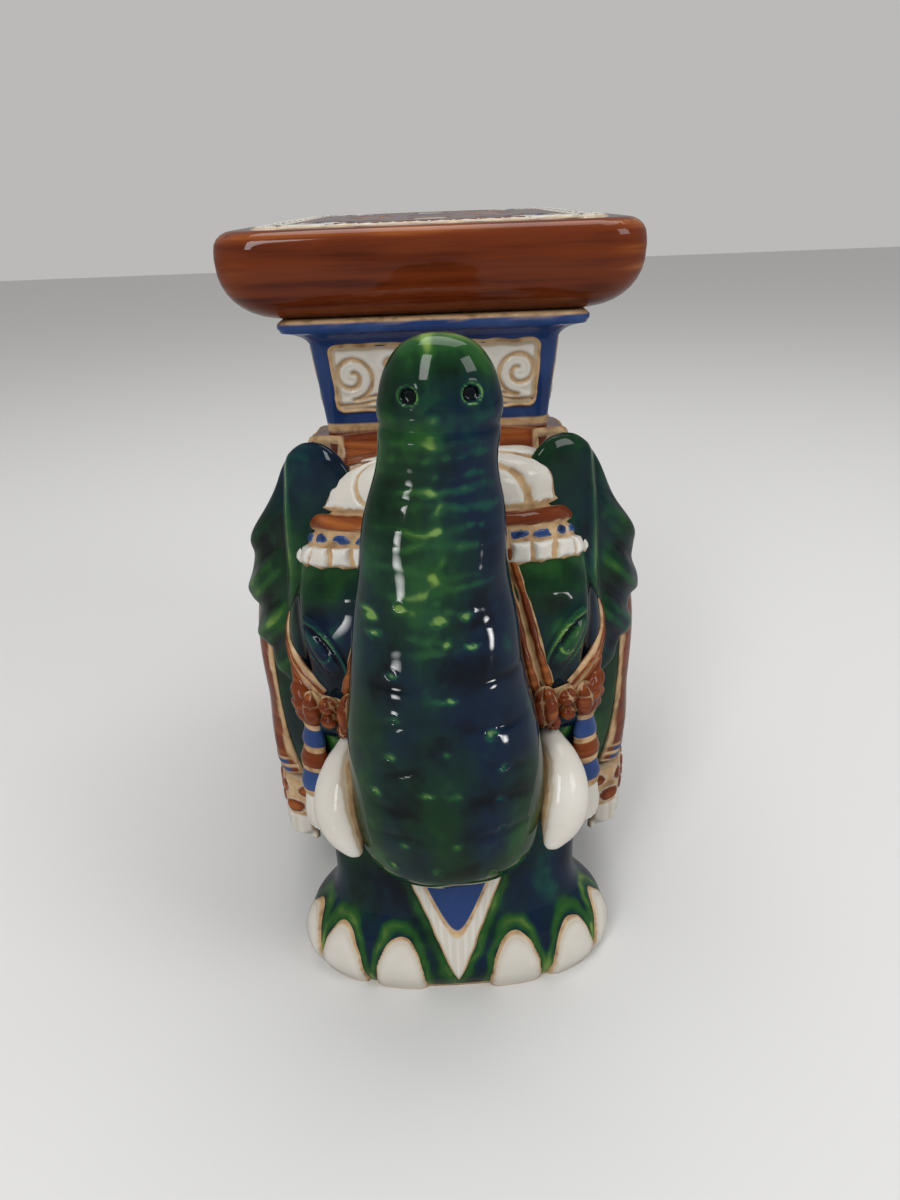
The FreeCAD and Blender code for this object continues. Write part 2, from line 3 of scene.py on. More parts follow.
import bpy
import numpy as np
from mathutils import Matrix, Vector
from mathutils.bvhtree import BVHTree


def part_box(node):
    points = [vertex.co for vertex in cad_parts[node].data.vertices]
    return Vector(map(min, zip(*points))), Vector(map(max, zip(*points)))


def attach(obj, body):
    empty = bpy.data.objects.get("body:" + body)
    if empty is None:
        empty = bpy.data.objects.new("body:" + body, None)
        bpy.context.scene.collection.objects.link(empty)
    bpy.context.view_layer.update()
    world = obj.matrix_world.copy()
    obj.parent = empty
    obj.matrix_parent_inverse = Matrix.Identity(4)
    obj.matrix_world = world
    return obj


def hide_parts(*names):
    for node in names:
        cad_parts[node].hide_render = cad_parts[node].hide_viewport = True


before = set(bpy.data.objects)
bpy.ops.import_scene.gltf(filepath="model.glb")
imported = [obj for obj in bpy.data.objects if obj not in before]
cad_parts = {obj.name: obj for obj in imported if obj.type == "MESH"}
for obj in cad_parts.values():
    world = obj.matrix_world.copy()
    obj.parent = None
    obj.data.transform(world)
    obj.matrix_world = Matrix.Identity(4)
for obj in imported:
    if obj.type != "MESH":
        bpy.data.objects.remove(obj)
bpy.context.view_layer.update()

# The view: a phone's wide lens close in front of the stool and above its head, looking down,
# with the picture tipped a little. The light is a large window in front and to the left, a
# smaller one to the right and a pale room all round.
mm = 0.001
camera_place = Vector((0.0032, -0.5806, 0.432))
camera_pitch = math.radians(24.2)
camera_roll = math.radians(2.2)
camera_lens = 27.03

camera = bpy.data.objects.new("camera", bpy.data.cameras.new("camera"))
bpy.context.scene.collection.objects.link(camera)
ahead = Vector((0, math.cos(camera_pitch), -math.sin(camera_pitch)))
level_up = Vector((0, math.sin(camera_pitch), math.cos(camera_pitch)))
level_right = Vector((1, 0, 0))
right = level_right * math.cos(camera_roll) - level_up * math.sin(camera_roll)
up = level_up * math.cos(camera_roll) + level_right * math.sin(camera_roll)
camera.matrix_world = Matrix.Translation(camera_place) @ Matrix((right, up, -ahead)).transposed().to_4x4()
camera.data.sensor_width = 36
camera.data.lens = camera_lens
camera.data.clip_start = 0.01
bpy.context.scene.camera = camera
bpy.context.scene.view_settings.view_transform = "Standard"


def window(name, place, aim, width, height, watts, beam=180):
    """A window's light; one with a narrow beam shows only as a gleam in the glaze."""
    lamp = bpy.data.lights.new(name, "AREA")
    lamp.shape = "RECTANGLE"
    lamp.size = width
    lamp.size_y = height
    lamp.energy = watts
    lamp.spread = math.radians(beam)
    lit = bpy.data.objects.new(name, lamp)
    lit.location = place
    lit.rotation_euler = (Vector(aim) - Vector(place)).to_track_quat("-Z", "Y").to_euler()
    lit.visible_diffuse = beam == 180
    bpy.context.scene.collection.objects.link(lit)


window("tall_window", (-0.75, -1.7, 1.75), (0, 0, 0.2), 0.5, 1.6, 20)
window("side_window", (1.5, -1.0, 1.5), (0, 0, 0.2), 0.8, 0.8, 9)
window("ceiling_light", (0.2, 0.5, 2.2), (0, 0, 0.2), 1.6, 1.2, 17)
window("low_left_gleam", (-0.40, -0.64, 0.085), (-0.012, -0.215, 0.235), 0.12, 0.12, 0.0080, 16)
window("low_right_gleam", (0.40, -0.42, 0.095), (0.017, -0.20, 0.225), 0.10, 0.06, 0.0020, 10)

world = bpy.data.worlds.new("room")
bpy.context.scene.world = world
world.use_nodes = True
room = world.node_tree
backdrop = room.nodes["Background"]
backdrop.inputs["Color"].default_value = (0.80, 0.79, 0.78, 1)
rays = room.nodes.new("ShaderNodeLightPath")
dimmed = room.nodes.new("ShaderNodeMapRange")
dimmed.inputs["To Min"].default_value = 0.62
dimmed.inputs["To Max"].default_value = 0.30
room.links.new(rays.outputs["Is Glossy Ray"], dimmed.inputs["Value"])
room.links.new(dimmed.outputs[0], backdrop.inputs["Strength"])

floor_colour = (0.74, 0.74, 0.735, 1)
bpy.ops.object.select_all(action="DESELECT")
bpy.ops.mesh.primitive_plane_add(size=12, location=(0, 0, 0))
floor = bpy.context.object
floor.name = "floor"
floor_paint = bpy.data.materials.new("pale_floor")
floor_paint.use_nodes = True
floor_tree = floor_paint.node_tree
# Painted shade on the floor's reflection: where the glaze reflects the floor it is painted a darker grey,
# while to the camera and to diffuse light it stays evenly pale.
floor_rays = floor_tree.nodes.new("ShaderNodeLightPath")
floor_reflection_shade = floor_tree.nodes.new("ShaderNodeMix")
floor_reflection_shade.data_type = "RGBA"
floor_reflection_shade.inputs[6].default_value = floor_colour
floor_reflection_shade.inputs[7].default_value = (0.36, 0.36, 0.36, 1)
floor_tree.links.new(floor_rays.outputs["Is Glossy Ray"], floor_reflection_shade.inputs[0])
floor_tree.links.new(floor_reflection_shade.outputs[2], floor_tree.nodes["Principled BSDF"].inputs["Base Color"])
floor_tree.nodes["Principled BSDF"].inputs["Roughness"].default_value = 0.55
floor_tree.nodes["Principled BSDF"].inputs["Specular IOR Level"].default_value = 0.1
floor.data.materials.append(floor_paint)


# The glazes: lead-bright coloured glass over a tan earthenware. Each one pools dark in the
# hollows, breaks pale over ridges and edges, and stops at lines of bare clay that keep it
# from running into its neighbour. One material can hold all four, by the marks on a piece.
glazes = {
    "green": ((0.0010, 0.005, 0.003), (0.0048, 0.029, 0.010), (0.17, 0.29, 0.06)),
    "brown": ((0.050, 0.008, 0.003), (0.145, 0.028, 0.007), (0.42, 0.13, 0.03)),
    "blue": ((0.006, 0.014, 0.050), (0.022, 0.052, 0.170), (0.08, 0.16, 0.36)),
    "white": ((0.46, 0.37, 0.26), (0.62, 0.585, 0.51), (0.72, 0.70, 0.65)),
}
green_break = (0.016, 0.076, 0.016)
navy = ((0.0008, 0.0028, 0.008), (0.0032, 0.013, 0.034), (0.006, 0.058, 0.045), (0.15, 0.30, 0.10))
clay_colour = ((0.30, 0.17, 0.075), (0.52, 0.34, 0.175), (0.66, 0.48, 0.29))
marks = ("thin", "bare", "navy", "green", "brown", "blue", "white")


class Sheet:
    """A material's node sheet, with a short way to add a node and join it up."""

    def __init__(self, name):
        self.material = bpy.data.materials.new(name)
        self.material.use_nodes = True
        self.tree = self.material.node_tree
        self.glaze = self.tree.nodes["Principled BSDF"]

    def add(self, kind, settings=None, **inputs):
        node = self.tree.nodes.new(kind)
        for key, value in (settings or {}).items():
            setattr(node, key, value)
        for key, value in inputs.items():
            self.join(value, node.inputs[key.replace("_", " ")])
        return node

    def join(self, value, socket):
        if isinstance(value, bpy.types.NodeSocket):
            self.tree.links.new(value, socket)
        else:
            socket.default_value = value

    def sums(self, operation, *values, clamp=False):
        node = self.tree.nodes.new("ShaderNodeMath")
        node.operation = operation
        node.use_clamp = clamp
        for value, socket in zip(values, node.inputs):
            self.join(value, socket)
        return node.outputs[0]

    def mix(self, factor, a, b):
        node = self.tree.nodes.new("ShaderNodeMix")
        node.data_type = "RGBA"
        self.join(factor, node.inputs[0])
        self.join(a, node.inputs[6])
        self.join(b, node.inputs[7])
        return node.outputs[2]

    def noise(self, scale, stretch=(1, 1, 1), detail=3.0, turn=(0, 0, 0)):
        place = self.add("ShaderNodeTexCoord").outputs["Object"]
        mapping = self.add("ShaderNodeMapping", Vector=place, Scale=stretch, Rotation=turn)
        return self.add("ShaderNodeTexNoise", Vector=mapping.outputs[0], Scale=scale,
                        Detail=detail).outputs["Fac"]

    def ramp(self, factor, stops):
        node = self.add("ShaderNodeValToRGB", Fac=factor)
        node.color_ramp.interpolation = "EASE"
        for place, colour in stops[1:-1]:
            node.color_ramp.elements.new(place)
        for element, (place, colour) in zip(node.color_ramp.elements, stops):
            element.position = place
            element.color = (*colour, 1)
        return node.outputs[0]


def fired(name, ground):
    """A glaze over the whole piece, and the others wherever the piece is marked with them."""
    s = Sheet(name)
    mark = {key: s.add("ShaderNodeAttribute", {"attribute_name": key}).outputs["Fac"] for key in marks}
    clouds = s.noise(34, detail=4.0)
    runs = s.noise(60, (1, 1, 0.35), 3.0)
    streaks = s.noise(38, (0.35, 0.35, 6.0), 4.0)
    depth = {
        "green": s.sums("ADD", s.sums("MULTIPLY", clouds, 0.75), s.sums("MULTIPLY", runs, 0.35)),
        "brown": s.sums("ADD", s.sums("MULTIPLY", streaks, 0.8), 0.12),
        "blue": s.sums("ADD", s.sums("MULTIPLY", runs, 0.55), 0.22),
        "white": s.sums("ADD", s.sums("MULTIPLY", clouds, 0.45), 0.40),
    }
    colours = {}
    for key, (pooled, body, pale) in glazes.items():
        factor = s.sums("ADD", depth[key], mark["thin"], clamp=True)
        if key == "green":
            green = s.ramp(factor, ((0.30, pooled), (0.50, body), (0.70, green_break), (1.0, pale)))
            deep = s.ramp(factor, tuple(zip((0.30, 0.54, 0.74, 1.0), navy)))
            patches = s.sums("ADD", s.noise(15, (1, 1, 0.7), 5.0, (0.3, 0.5, 0)), mark["navy"])
            cool = s.sums("MULTIPLY", s.sums("SUBTRACT", patches, 0.46), 5.0, clamp=True)
            colours[key] = s.mix(cool, green, deep)
        else:
            colours[key] = s.ramp(factor, ((0.15, pooled), (0.55, body), (1.0, pale)))
    colour = colours[ground]
    for key in glazes:
        if key != ground:
            colour = s.mix(mark[key], colour, colours[key])
    grain = s.noise(900, detail=2.0)
    dirt = s.noise(120, detail=5.0)
    earth = s.ramp(dirt, tuple(zip((0.30, 0.52, 0.75), clay_colour)))
    colour = s.mix(mark["bare"], colour, earth)
    s.join(colour, s.glaze.inputs["Base Color"])
    s.join(s.sums("ADD", 0.055, s.sums("MULTIPLY", mark["bare"], 0.5)), s.glaze.inputs["Roughness"])
    ripple = s.noise(85, detail=1.0)
    height = s.sums("ADD", s.sums("MULTIPLY", ripple, 0.08),
                    s.sums("MULTIPLY", s.sums("MULTIPLY", grain, mark["bare"]), 0.35))
    bump = s.add("ShaderNodeBump", Height=height, Strength=0.6, Distance=1.0 * mm)
    s.join(bump.outputs[0], s.glaze.inputs["Normal"])
    s.glaze.inputs["IOR"].default_value = 1.52
    s.glaze.inputs["Specular IOR Level"].default_value = 0.27
    return s.material


slots = {f"{key}_glaze": fired(f"{key}_glaze", key) for key in glazes}


# The barrel of the body: two pressed halves of earthenware joined on the centre line and
# smoothed over, so that only a faint seam is left. It is glazed green where it shows.
# Heights are above the floor. Places along the body are counted from the middle of the
# drawing, and shift brings them to the frame's zero.
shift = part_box("left_torso_half")[0].y / mm + 118.0
cad = {"front": -118.0 + shift, "length": 312.0, "half_width": 116.0, "girth": 185.0,
       "back": 313.0, "belly": 44.0}
body_shares = (
    (-0.02, 0.60, 0.660, 0.62),
    (0.00, 0.83, 0.900, 0.90),
    (0.025, 0.91, 0.945, 0.95),
    (0.08, 0.965, 0.975, 0.98),
    (0.19, 1.00, 0.995, 1.00),
    (0.36, 1.00, 1.000, 1.00),
    (0.56, 1.00, 1.000, 1.00),
    (0.76, 0.985, 1.000, 0.98),
    (0.89, 0.93, 0.980, 0.92),
    (0.965, 0.80, 0.880, 0.76),
    (1.00, 0.52, 0.580, 0.46),
    (1.012, 0.22, 0.25, 0.20),
    (1.014, 0.00, 0.00, 0.00),
)


def smooth_rows(rows, count):
    """Rows on a smooth curve through the given ones, evenly spaced along it."""
    rows = np.array(rows, float)
    t = np.concatenate([[0], np.cumsum(np.linalg.norm(np.diff(rows, axis=0), axis=1))])
    slopes = np.gradient(rows, t, axis=0)
    at = np.linspace(0, t[-1], count)
    i = np.clip(np.searchsorted(t, at, side="right") - 1, 0, len(t) - 2)
    gap = (t[i + 1] - t[i])[:, None]
    f = (at - t[i])[:, None] / gap
    return ((2 * f**3 - 3 * f**2 + 1) * rows[i] + (f**3 - 2 * f**2 + f) * gap * slopes[i]
            + (3 * f**2 - 2 * f**3) * rows[i + 1] + (f**3 - f**2) * gap * slopes[i + 1])


def outline(count, full_up, full_down):
    """Shares of side, up and down round a section, from the left side over the top."""
    t = np.arange(count // 4) / (count // 4)

    def arc(full):
        return ((1 - t)**3 + 3 * (1 - t)**2 * t + 3 * (1 - t) * t**2 * full,
                3 * (1 - t)**2 * t * full + 3 * (1 - t) * t**2 + t**3)

    (a, b), (c, d), zero = arc(full_up), arc(full_down), np.zeros_like(t)
    return (np.concatenate([a, -b, -c, d]), np.concatenate([b, a, zero, zero]),
            np.concatenate([zero, zero, d, c]))


def lofted(centres, sides, ups, downs, around, full_up, full_down):
    """A grid of points, one row for each section."""
    side, up_share, down_share = outline(around, full_up, full_down)
    return (centres[:, None] + sides[:, None] * side[None, :, None]
            + ups[:, None] * up_share[None, :, None] + downs[:, None] * down_share[None, :, None])


def vectors(*columns):
    """Places out of their x, y and z, each a number or a grid."""
    return np.stack(np.broadcast_arrays(*[np.asarray(c, float) for c in columns]), axis=-1)


def normals(points, wrap):
    """Outward directions of a grid of points."""
    if wrap:
        across = np.roll(points, -1, axis=1) - np.roll(points, 1, axis=1)
    else:
        across = np.gradient(points, axis=1)
    along = np.gradient(points, axis=0)
    n = np.cross(across, along)
    length = np.linalg.norm(n, axis=-1, keepdims=True)
    n = n / np.maximum(length, 1e-9)
    outward = np.sum(n * (points - points.mean(axis=(0, 1))))
    return n if outward > 0 else -n


def grid_faces(rows, columns, wrap):
    """The four-cornered faces of a grid of points."""
    last = columns if wrap else columns - 1
    i, j = np.meshgrid(np.arange(rows - 1), np.arange(last), indexing="ij")
    k = (j + 1) % columns
    return np.stack([i * columns + j, i * columns + k, (i + 1) * columns + k, (i + 1) * columns + j],
                    axis=-1).reshape(-1, 4).tolist()


def closed(points):
    """The corner list and faces of a wrapped grid with both ends closed."""
    rows, columns, _ = points.shape
    flat = np.concatenate([points.reshape(-1, 3), [points[0].mean(axis=0)], [points[-1].mean(axis=0)]])
    faces = grid_faces(rows, columns, True)
    first, last, base = rows * columns, rows * columns + 1, (rows - 1) * columns
    for j in range(columns):
        k = (j + 1) % columns
        faces.append([first, k, j])
        faces.append([last, base + j, base + k])
    return flat, faces


def tree_of(points):
    """A form to lay other pieces on."""
    flat, faces = closed(points)
    return BVHTree.FromPolygons(flat.tolist(), faces)


def clay(name, corners, faces, painted, slot, nodes):
    """A finished piece from its corners in mm, with its marks, riding on the stool."""
    mesh = bpy.data.meshes.new(name)
    mesh.from_pydata((np.asarray(corners) * mm).tolist(), [], faces)
    for key, values in painted.items():
        values = np.asarray(values, np.float32).ravel()
        full = np.zeros(len(mesh.vertices), np.float32)
        full[:len(values)] = values
        if len(values) < len(full):
            full[len(values):] = values.mean()
        mesh.attributes.new(key, "FLOAT", "POINT").data.foreach_set("value", full)
    piece = bpy.data.objects.new(name, mesh)
    bpy.context.scene.collection.objects.link(piece)
    bpy.ops.object.select_all(action="DESELECT")
    piece.select_set(True)
    bpy.context.view_layer.objects.active = piece
    bpy.ops.object.mode_set(mode="EDIT")
    bpy.ops.mesh.select_all(action="SELECT")
    bpy.ops.mesh.normals_make_consistent(inside=False)
    bpy.ops.object.mode_set(mode="OBJECT")
    bpy.ops.object.shade_smooth()
    mesh.materials.append(slots[slot])
    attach(piece, "root")
    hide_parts(*nodes)


def waves(points, size, seed):
    """A gentle hand-made unevenness between -1 and 1, the same on every run."""
    rng = np.random.default_rng(seed)
    total = np.zeros(points.shape[:-1])
    for _ in range(6):
        direction = rng.normal(size=3)
        direction /= np.linalg.norm(direction) * size * rng.uniform(0.6, 1.6)
        total += np.sin(points @ direction * 2 * math.pi + rng.uniform(0, 2 * math.pi))
    return total / 3.5


def meet(points, outward, neighbours, reach):
    """Swells a form where it runs into its neighbours, as slip is smoothed into the joint."""
    flat = points.reshape(-1, 3)
    out = outward.reshape(-1, 3)
    swell = np.zeros(len(flat))
    for tree in neighbours:
        grown = np.zeros(len(flat))
        live = np.arange(len(flat))
        for _ in range(4):
            kept = []
            for i in live:
                p = Vector(flat[i] + out[i] * grown[i])
                place, normal, _, gap = tree.find_nearest(p, reach * 2.2)
                if place is None:
                    continue
                if (p - place).dot(normal) < 0:
                    gap = -gap
                grown[i] = reach / 4 * max(0.0, 1 - abs(gap - grown[i]) / reach) ** 2
                kept.append(i)
            live = kept
        swell = np.maximum(swell, grown)
    return points + outward * swell.reshape(points.shape[:-1])[..., None]


def body_form(rows, around):
    y, a, b, c = smooth_rows([(along * cad["length"], half * cad["half_width"],
                               rise * (cad["back"] - cad["girth"]), drop * (cad["girth"] - cad["belly"]))
                              for along, half, rise, drop in body_shares], rows).T
    return lofted(vectors(0, y + cad["front"], cad["girth"]), vectors(a, 0, 0), vectors(0, 0, b),
                  vectors(0, 0, -c), around, 0.52, 0.78)


body_grid = body_form(130, 252)
body_tree = tree_of(body_grid)


# The foot blocks: each pair of legs is pressed as one block, hollow and open below, that
# tapers to the ankle and swells into the body. The rim that stands on the floor is bare clay.
foot_half_width = 93.0
foot_full = 0.66
wall = 7.0
hollow_height = 122.0
front_foot = {"y": -150.0 + shift, "reach": 50.0, "top": 185.0}
rear_foot = {"y": 146.0 + shift, "reach": 47.0, "top": 150.0}
front_leg_shares = (
    (0.000, 0.93, 0.92, 0.92),
    (0.065, 1.00, 1.00, 1.00),
    (0.140, 0.975, 0.955, 0.96),
    (0.260, 0.80, 0.79, 0.84),
    (0.430, 0.78, 0.62, 0.82),
    (0.650, 0.84, 0.42, 0.86),
    (0.810, 0.80, 0.30, 0.86),
    (1.000, 0.62, 0.20, 0.70),
)
rear_leg_shares = (
    (0.00, 0.93, 0.92, 0.92),
    (0.08, 1.00, 1.00, 1.00),
    (0.17, 0.975, 0.96, 0.96),
    (0.32, 0.82, 0.84, 0.86),
    (0.53, 0.86, 0.86, 0.92),
    (0.73, 0.88, 0.84, 0.80),
    (1.00, 0.70, 0.70, 0.40),
)


def foot_form(foot, shares, rows, around, grow=0.0, height=None):
    z, a, b, c = smooth_rows([(level * foot["top"], across * foot_half_width + grow,
                               forward * foot["reach"] + grow, back * foot["reach"] + grow)
                              for level, across, forward, back in shares
                              if height is None or level * foot["top"] <= height], rows).T
    return lofted(vectors(0, foot["y"], z), vectors(a, 0, 0), vectors(0, -b, 0),
                  vectors(0, c, 0), around, foot_full, foot_full)


def mound(distance, width):
    """1 on a line and nothing a few widths away from it."""
    return np.exp(-(distance / width) ** 2)


def step_up(value, low, high):
    """A soft step from 0 at low to 1 at high."""
    t = np.clip((value - low) / (high - low), 0, 1)
    return t * t * (3 - 2 * t)


def crests(points, outward, wrap, stride=2):
    """How far each point stands above its neighbours: more than 0 on ridges and edges."""
    padded = np.pad(points, ((stride, stride), (0, 0), (0, 0)), mode="edge")
    around = np.roll(points, stride, axis=1) + np.roll(points, -stride, axis=1)
    if not wrap:
        wide = np.pad(points, ((0, 0), (stride, stride), (0, 0)), mode="edge")
        around = wide[:, 2 * stride:] + wide[:, :-2 * stride]
    near = (around + padded[2 * stride:] + padded[:-2 * stride]) / 4
    return np.sum((points - near) * outward, axis=-1)


nail = {"width": 31.0, "height": 38.0}
nail_places = (0.162, 0.492, 0.79)
bib = {"top": 80.0, "point": 8.0, "half_width": 31.0, "border": 11.5}
bib_slope = bib["half_width"] / (bib["top"] - bib["point"])
bib_fall = math.cos(math.atan(bib_slope))


def nail_frames(foot, side):
    """The middle of each nail at the floor, the way along its edge and the way out."""
    frames = []
    for t in nail_places:
        start = (1 - t)**3 + 3 * (1 - t)**2 * t + 3 * (1 - t) * t**2 * foot_full
        end = 3 * (1 - t)**2 * t * foot_full + 3 * (1 - t) * t**2 + t**3
        place = np.array([side * start * foot_half_width, foot["y"] - end * foot["reach"], 0])
        slope = np.array([side * foot_half_width * end, foot["reach"] * start, 0])
        slope /= np.linalg.norm(slope)
        out = np.array([side * abs(slope[1]), -abs(slope[0]), 0])
        frames.append((place, slope, out))
    return frames


def arch(u, z):
    """More than 0 inside a nail's outline and less than 0 outside it, in mm near the line."""
    return 9 * (1 - np.hypot(u / (nail["width"] / 2), z / nail["height"]) ** 2.4)


def leg_block(name, foot, shares, neighbours, nodes):
    """A hollow foot block, with a bare rim and with pale halos round its nails and bib."""
    outer = foot_form(foot, shares, 124, 304)
    outward = normals(outer, True)
    outer = outer + outward * (waves(outer, 90, 5) * 0.8)[..., None]
    outer = meet(outer, outward, neighbours, 16)
    outer[..., 2] = np.maximum(outer[..., 2], 0)
    inner = foot_form(foot, shares, 36, 304, -wall, hollow_height)
    z = outer[..., 2]
    bare = 1 - step_up(z + waves(outer, 25, 8) * 0.8, 1.0, 2.6)
    thin = -0.05 + 0.12 * mound(z, 8) + 0.05 * waves(outer, 30, 10)
    grid = np.concatenate([outer[::-1], inner])
    inside = np.ones(inner.shape[:-1])
    cool = 0.20 * step_up(z, 8, 30) * step_up(foot["top"] * 0.5 - z, 0, 30)
    for side in (-1, 1):
        for place, slope, out in nail_frames(foot, side):
            away = outer - place
            gap = arch(away @ slope, z) + 1.2 * waves(outer, 12, 9)
            halo = mound(gap + 3.0, 3.0) * step_up(away @ out, -26, -16) * step_up(56 - z, 0, 14)
            thin = thin + 0.26 * halo
            cool = cool - 0.30 * halo
    if foot is front_foot:
        gap = ((z - bib["point"]) * bib_slope - np.abs(outer[..., 0])) * bib_fall
        halo = mound(gap + 2.5 + 1.2 * waves(outer, 12, 9), 3.0) * (outer[..., 1] < foot["y"])
        thin = thin + 0.24 * halo
        cool = cool - 0.30 * halo
    clay(name, *closed(grid), {
        "bare": np.concatenate([bare[::-1], inside]),
        "thin": np.concatenate([thin[::-1], inside * 0]),
        "navy": np.concatenate([cool[::-1], inside * 0]),
    }, "green_glaze", nodes)


front_leg_tree = tree_of(foot_form(front_foot, front_leg_shares, 70, 200))
rear_leg_tree = tree_of(foot_form(rear_foot, rear_leg_shares, 70, 200))


# The head: a short hollow dome luted to the front of the barrel. Its face is modelled by
# hand, with heavy lids round slit eyes, a fold behind each eye and a swelling over each tusk.
head_half_width = 88.0
head = {"length": 56.0, "cheek": 192.0, "top": 312.0, "bottom": 127.0, "full_up": 0.60,
        "full_down": 0.58}
head_shares = (
    (-0.30, 0.80, 0.860, 0.85),
    (0.00, 0.92, 0.960, 0.95),
    (0.30, 1.00, 1.000, 1.00),
    (0.62, 0.94, 0.955, 0.95),
    (0.86, 0.74, 0.800, 0.78),
    (1.00, 0.44, 0.540, 0.52),
    (1.03, 0.20, 0.25, 0.24),
    (1.035, 0.00, 0.00, 0.00),
)


def head_form(rows, around):
    y, a, b, c = smooth_rows([(cad["front"] - along * head["length"], across * head_half_width,
                               rise * (head["top"] - head["cheek"]),
                               drop * (head["cheek"] - head["bottom"]))
                              for along, across, rise, drop in head_shares], rows).T
    return lofted(vectors(0, y, head["cheek"]), vectors(a, 0, 0), vectors(0, 0, b),
                  vectors(0, 0, -c), around, head["full_up"], head["full_down"])


head_tree = tree_of(head_form(110, 280))

# The trunk: hollow, pressed by itself, and the boldest form of the stool. It swells out of
# the face above the feet, turns up and stands in front of the forehead, ribbed across like
# skin, pricked with small pits that the glaze leaves pale, and leans a little to one side.
trunk_cad = {"front": -233.0 + shift, "foot": 72.0, "height": 308.0, "depth": 82.0,
             "half_width": 51.0, "lean": -4.5}
trunk_shares = (
    (-0.006, 0.84, 0.92, 0.08, 0.40),
    (0.000, 0.695, 1.01, 0.38, 0.40),
    (0.012, 0.550, 1.01, 0.55, 0.40),
    (0.032, 0.390, 1.01, 0.71, 0.40),
    (0.062, 0.240, 1.01, 0.84, 0.40),
    (0.103, 0.115, 1.01, 0.935, 0.40),
    (0.163, 0.037, 1.01, 0.990, 0.40),
    (0.243, 0.000, 1.00, 1.010, 0.40),
    (0.342, 0.012, 0.93, 0.980, 0.65),
    (0.442, 0.030, 0.86, 0.890, 0.90),
    (0.545, 0.050, 0.80, 0.795, 1.00),
    (0.638, 0.060, 0.72, 0.715, 0.95),
    (0.741, 0.060, 0.62, 0.630, 0.55),
    (0.830, 0.045, 0.535, 0.530, 0.05),
    (0.900, 0.018, 0.505, 0.510, -0.40),
    (0.955, 0.035, 0.455, 0.445, -0.55),
    (0.988, 0.100, 0.370, 0.310, -0.55),
    (1.000, 0.170, 0.300, 0.160, -0.55),
    (1.003, 0.220, 0.250, 0.030, -0.55),
)


def trunk_form(rows, around):
    z, front, rear, half, lean = smooth_rows([
        (level * trunk_cad["height"], front * trunk_cad["depth"], rear * trunk_cad["depth"],
         across * trunk_cad["half_width"], share * trunk_cad["lean"])
        for level, front, rear, across, share in trunk_shares], rows).T
    middle = trunk_cad["front"] + (front + rear) / 2
    return lofted(vectors(lean, middle, trunk_cad["foot"] + z), vectors(half, 0, 0),
                  vectors(0, -(rear - front) / 2, 0), vectors(0, (rear - front) / 2, 0),
                  around, 0.57, 0.57)


trunk_tree = tree_of(trunk_form(160, 160))

# The body, legs and head are smoothed into one another with slip before the glazing.
outward = normals(body_grid, True)
body_skin = meet(body_grid + outward * (waves(body_grid, 120, 3) * 0.8)[..., None], outward,
                 [front_leg_tree, rear_leg_tree], 16)
seam = mound(body_skin[..., 0], 1.6) * (body_skin[..., 2] < cad["girth"])
body_skin = body_skin + outward * (seam * 0.5)[..., None]
clay("body", *closed(body_skin), {"thin": -0.05 + 0.35 * seam}, "green_glaze",
     ["left_torso_half", "right_torso_half"])
leg_block("front_feet", front_foot, front_leg_shares, [body_tree, head_tree],
          ["left_front_leg", "right_front_leg"])
leg_block("rear_feet", rear_foot, rear_leg_shares, [body_tree],
          ["left_rear_leg", "right_rear_leg"])

# The face: two lids round a ball and its slit, a socket, a fold behind and a brow above.
eye_place = (65.0, 213.0)
eye_slant = math.radians(33)
eye_half_length = 19.0
eye_half_width = 7.0
face = head_form(190, 452)
outward = normals(face, True)
across, level = np.abs(face[..., 0]), face[..., 2]
in_front = step_up(-face[..., 1], -cad["front"] + 6, -cad["front"] + 16)
along_eye = (across - eye_place[0]) * math.sin(eye_slant) + (level - eye_place[1]) * math.cos(eye_slant)
over_eye = (across - eye_place[0]) * math.cos(eye_slant) - (level - eye_place[1]) * math.sin(eye_slant)
along_share = np.clip(along_eye / eye_half_length, -1, 1)
almond = eye_half_width * (1 - np.abs(along_share + 0.15) ** 2.2 / 1.3)
inner_lid = mound(over_eye + almond, 1.0) * step_up(eye_half_length + 2 - np.abs(along_eye), 0, 5)
outer_lid = mound(over_eye - almond, 1.0) * step_up(eye_half_length - 2 - np.abs(along_eye), 0, 7)
ball = np.clip(1 - (over_eye / np.maximum(almond - 1.5, 0.1)) ** 2, 0, 1) ** 0.6
ball = ball * step_up(eye_half_length - 3 - np.abs(along_eye), 0, 8)
crescent = mound(np.hypot(over_eye + 0.5, along_eye + 1.5) - 4.2, 0.9) * step_up(-along_eye, 1, 4)
slit = mound(over_eye + almond - 2.2, 0.9) * step_up(along_eye, -6, 2)
slit = slit * step_up(eye_half_length - along_eye, 1, 6)
socket = mound(np.hypot(over_eye, along_eye / 2.2), 12)
fold = mound(across - 79 - 0.10 * (level - 215), 4.0)
fold = fold * step_up(level, 178, 205) * step_up(268 - level, 0, 20)
brow = mound(level - 243 + 0.12 * (across - 60), 6) * mound(across - 58, 22)
cheek = mound(np.hypot(across - 68, (level - 164) * 0.8), 8)
face = face + outward * (in_front * (
    1.1 * inner_lid + 0.8 * outer_lid + 1.9 * ball + 0.4 * crescent - 1.4 * slit + 2.6 * socket
    - 3.2 * fold + 1.4 * brow + 4.6 * cheek) + waves(face, 60, 11) * 0.6)[..., None]
face = meet(face, outward, [trunk_tree, body_tree, front_leg_tree], 9)
blotch = 0.5 + 0.5 * waves(face, 16, 12)
thin = -0.13 + in_front * (0.22 * inner_lid * (0.5 + 0.5 * blotch) + 0.16 * outer_lid * blotch
                           + 0.26 * crescent - 0.25 * slit + 0.14 * mound(over_eye + almond + 4, 4)
                           * mound(along_eye - 4, 9) - 0.18 * fold + 0.06 * cheek)
thin = thin + (0.14 + 0.10 * blotch) * step_up(level + 4 * blotch, 242, 256) * in_front
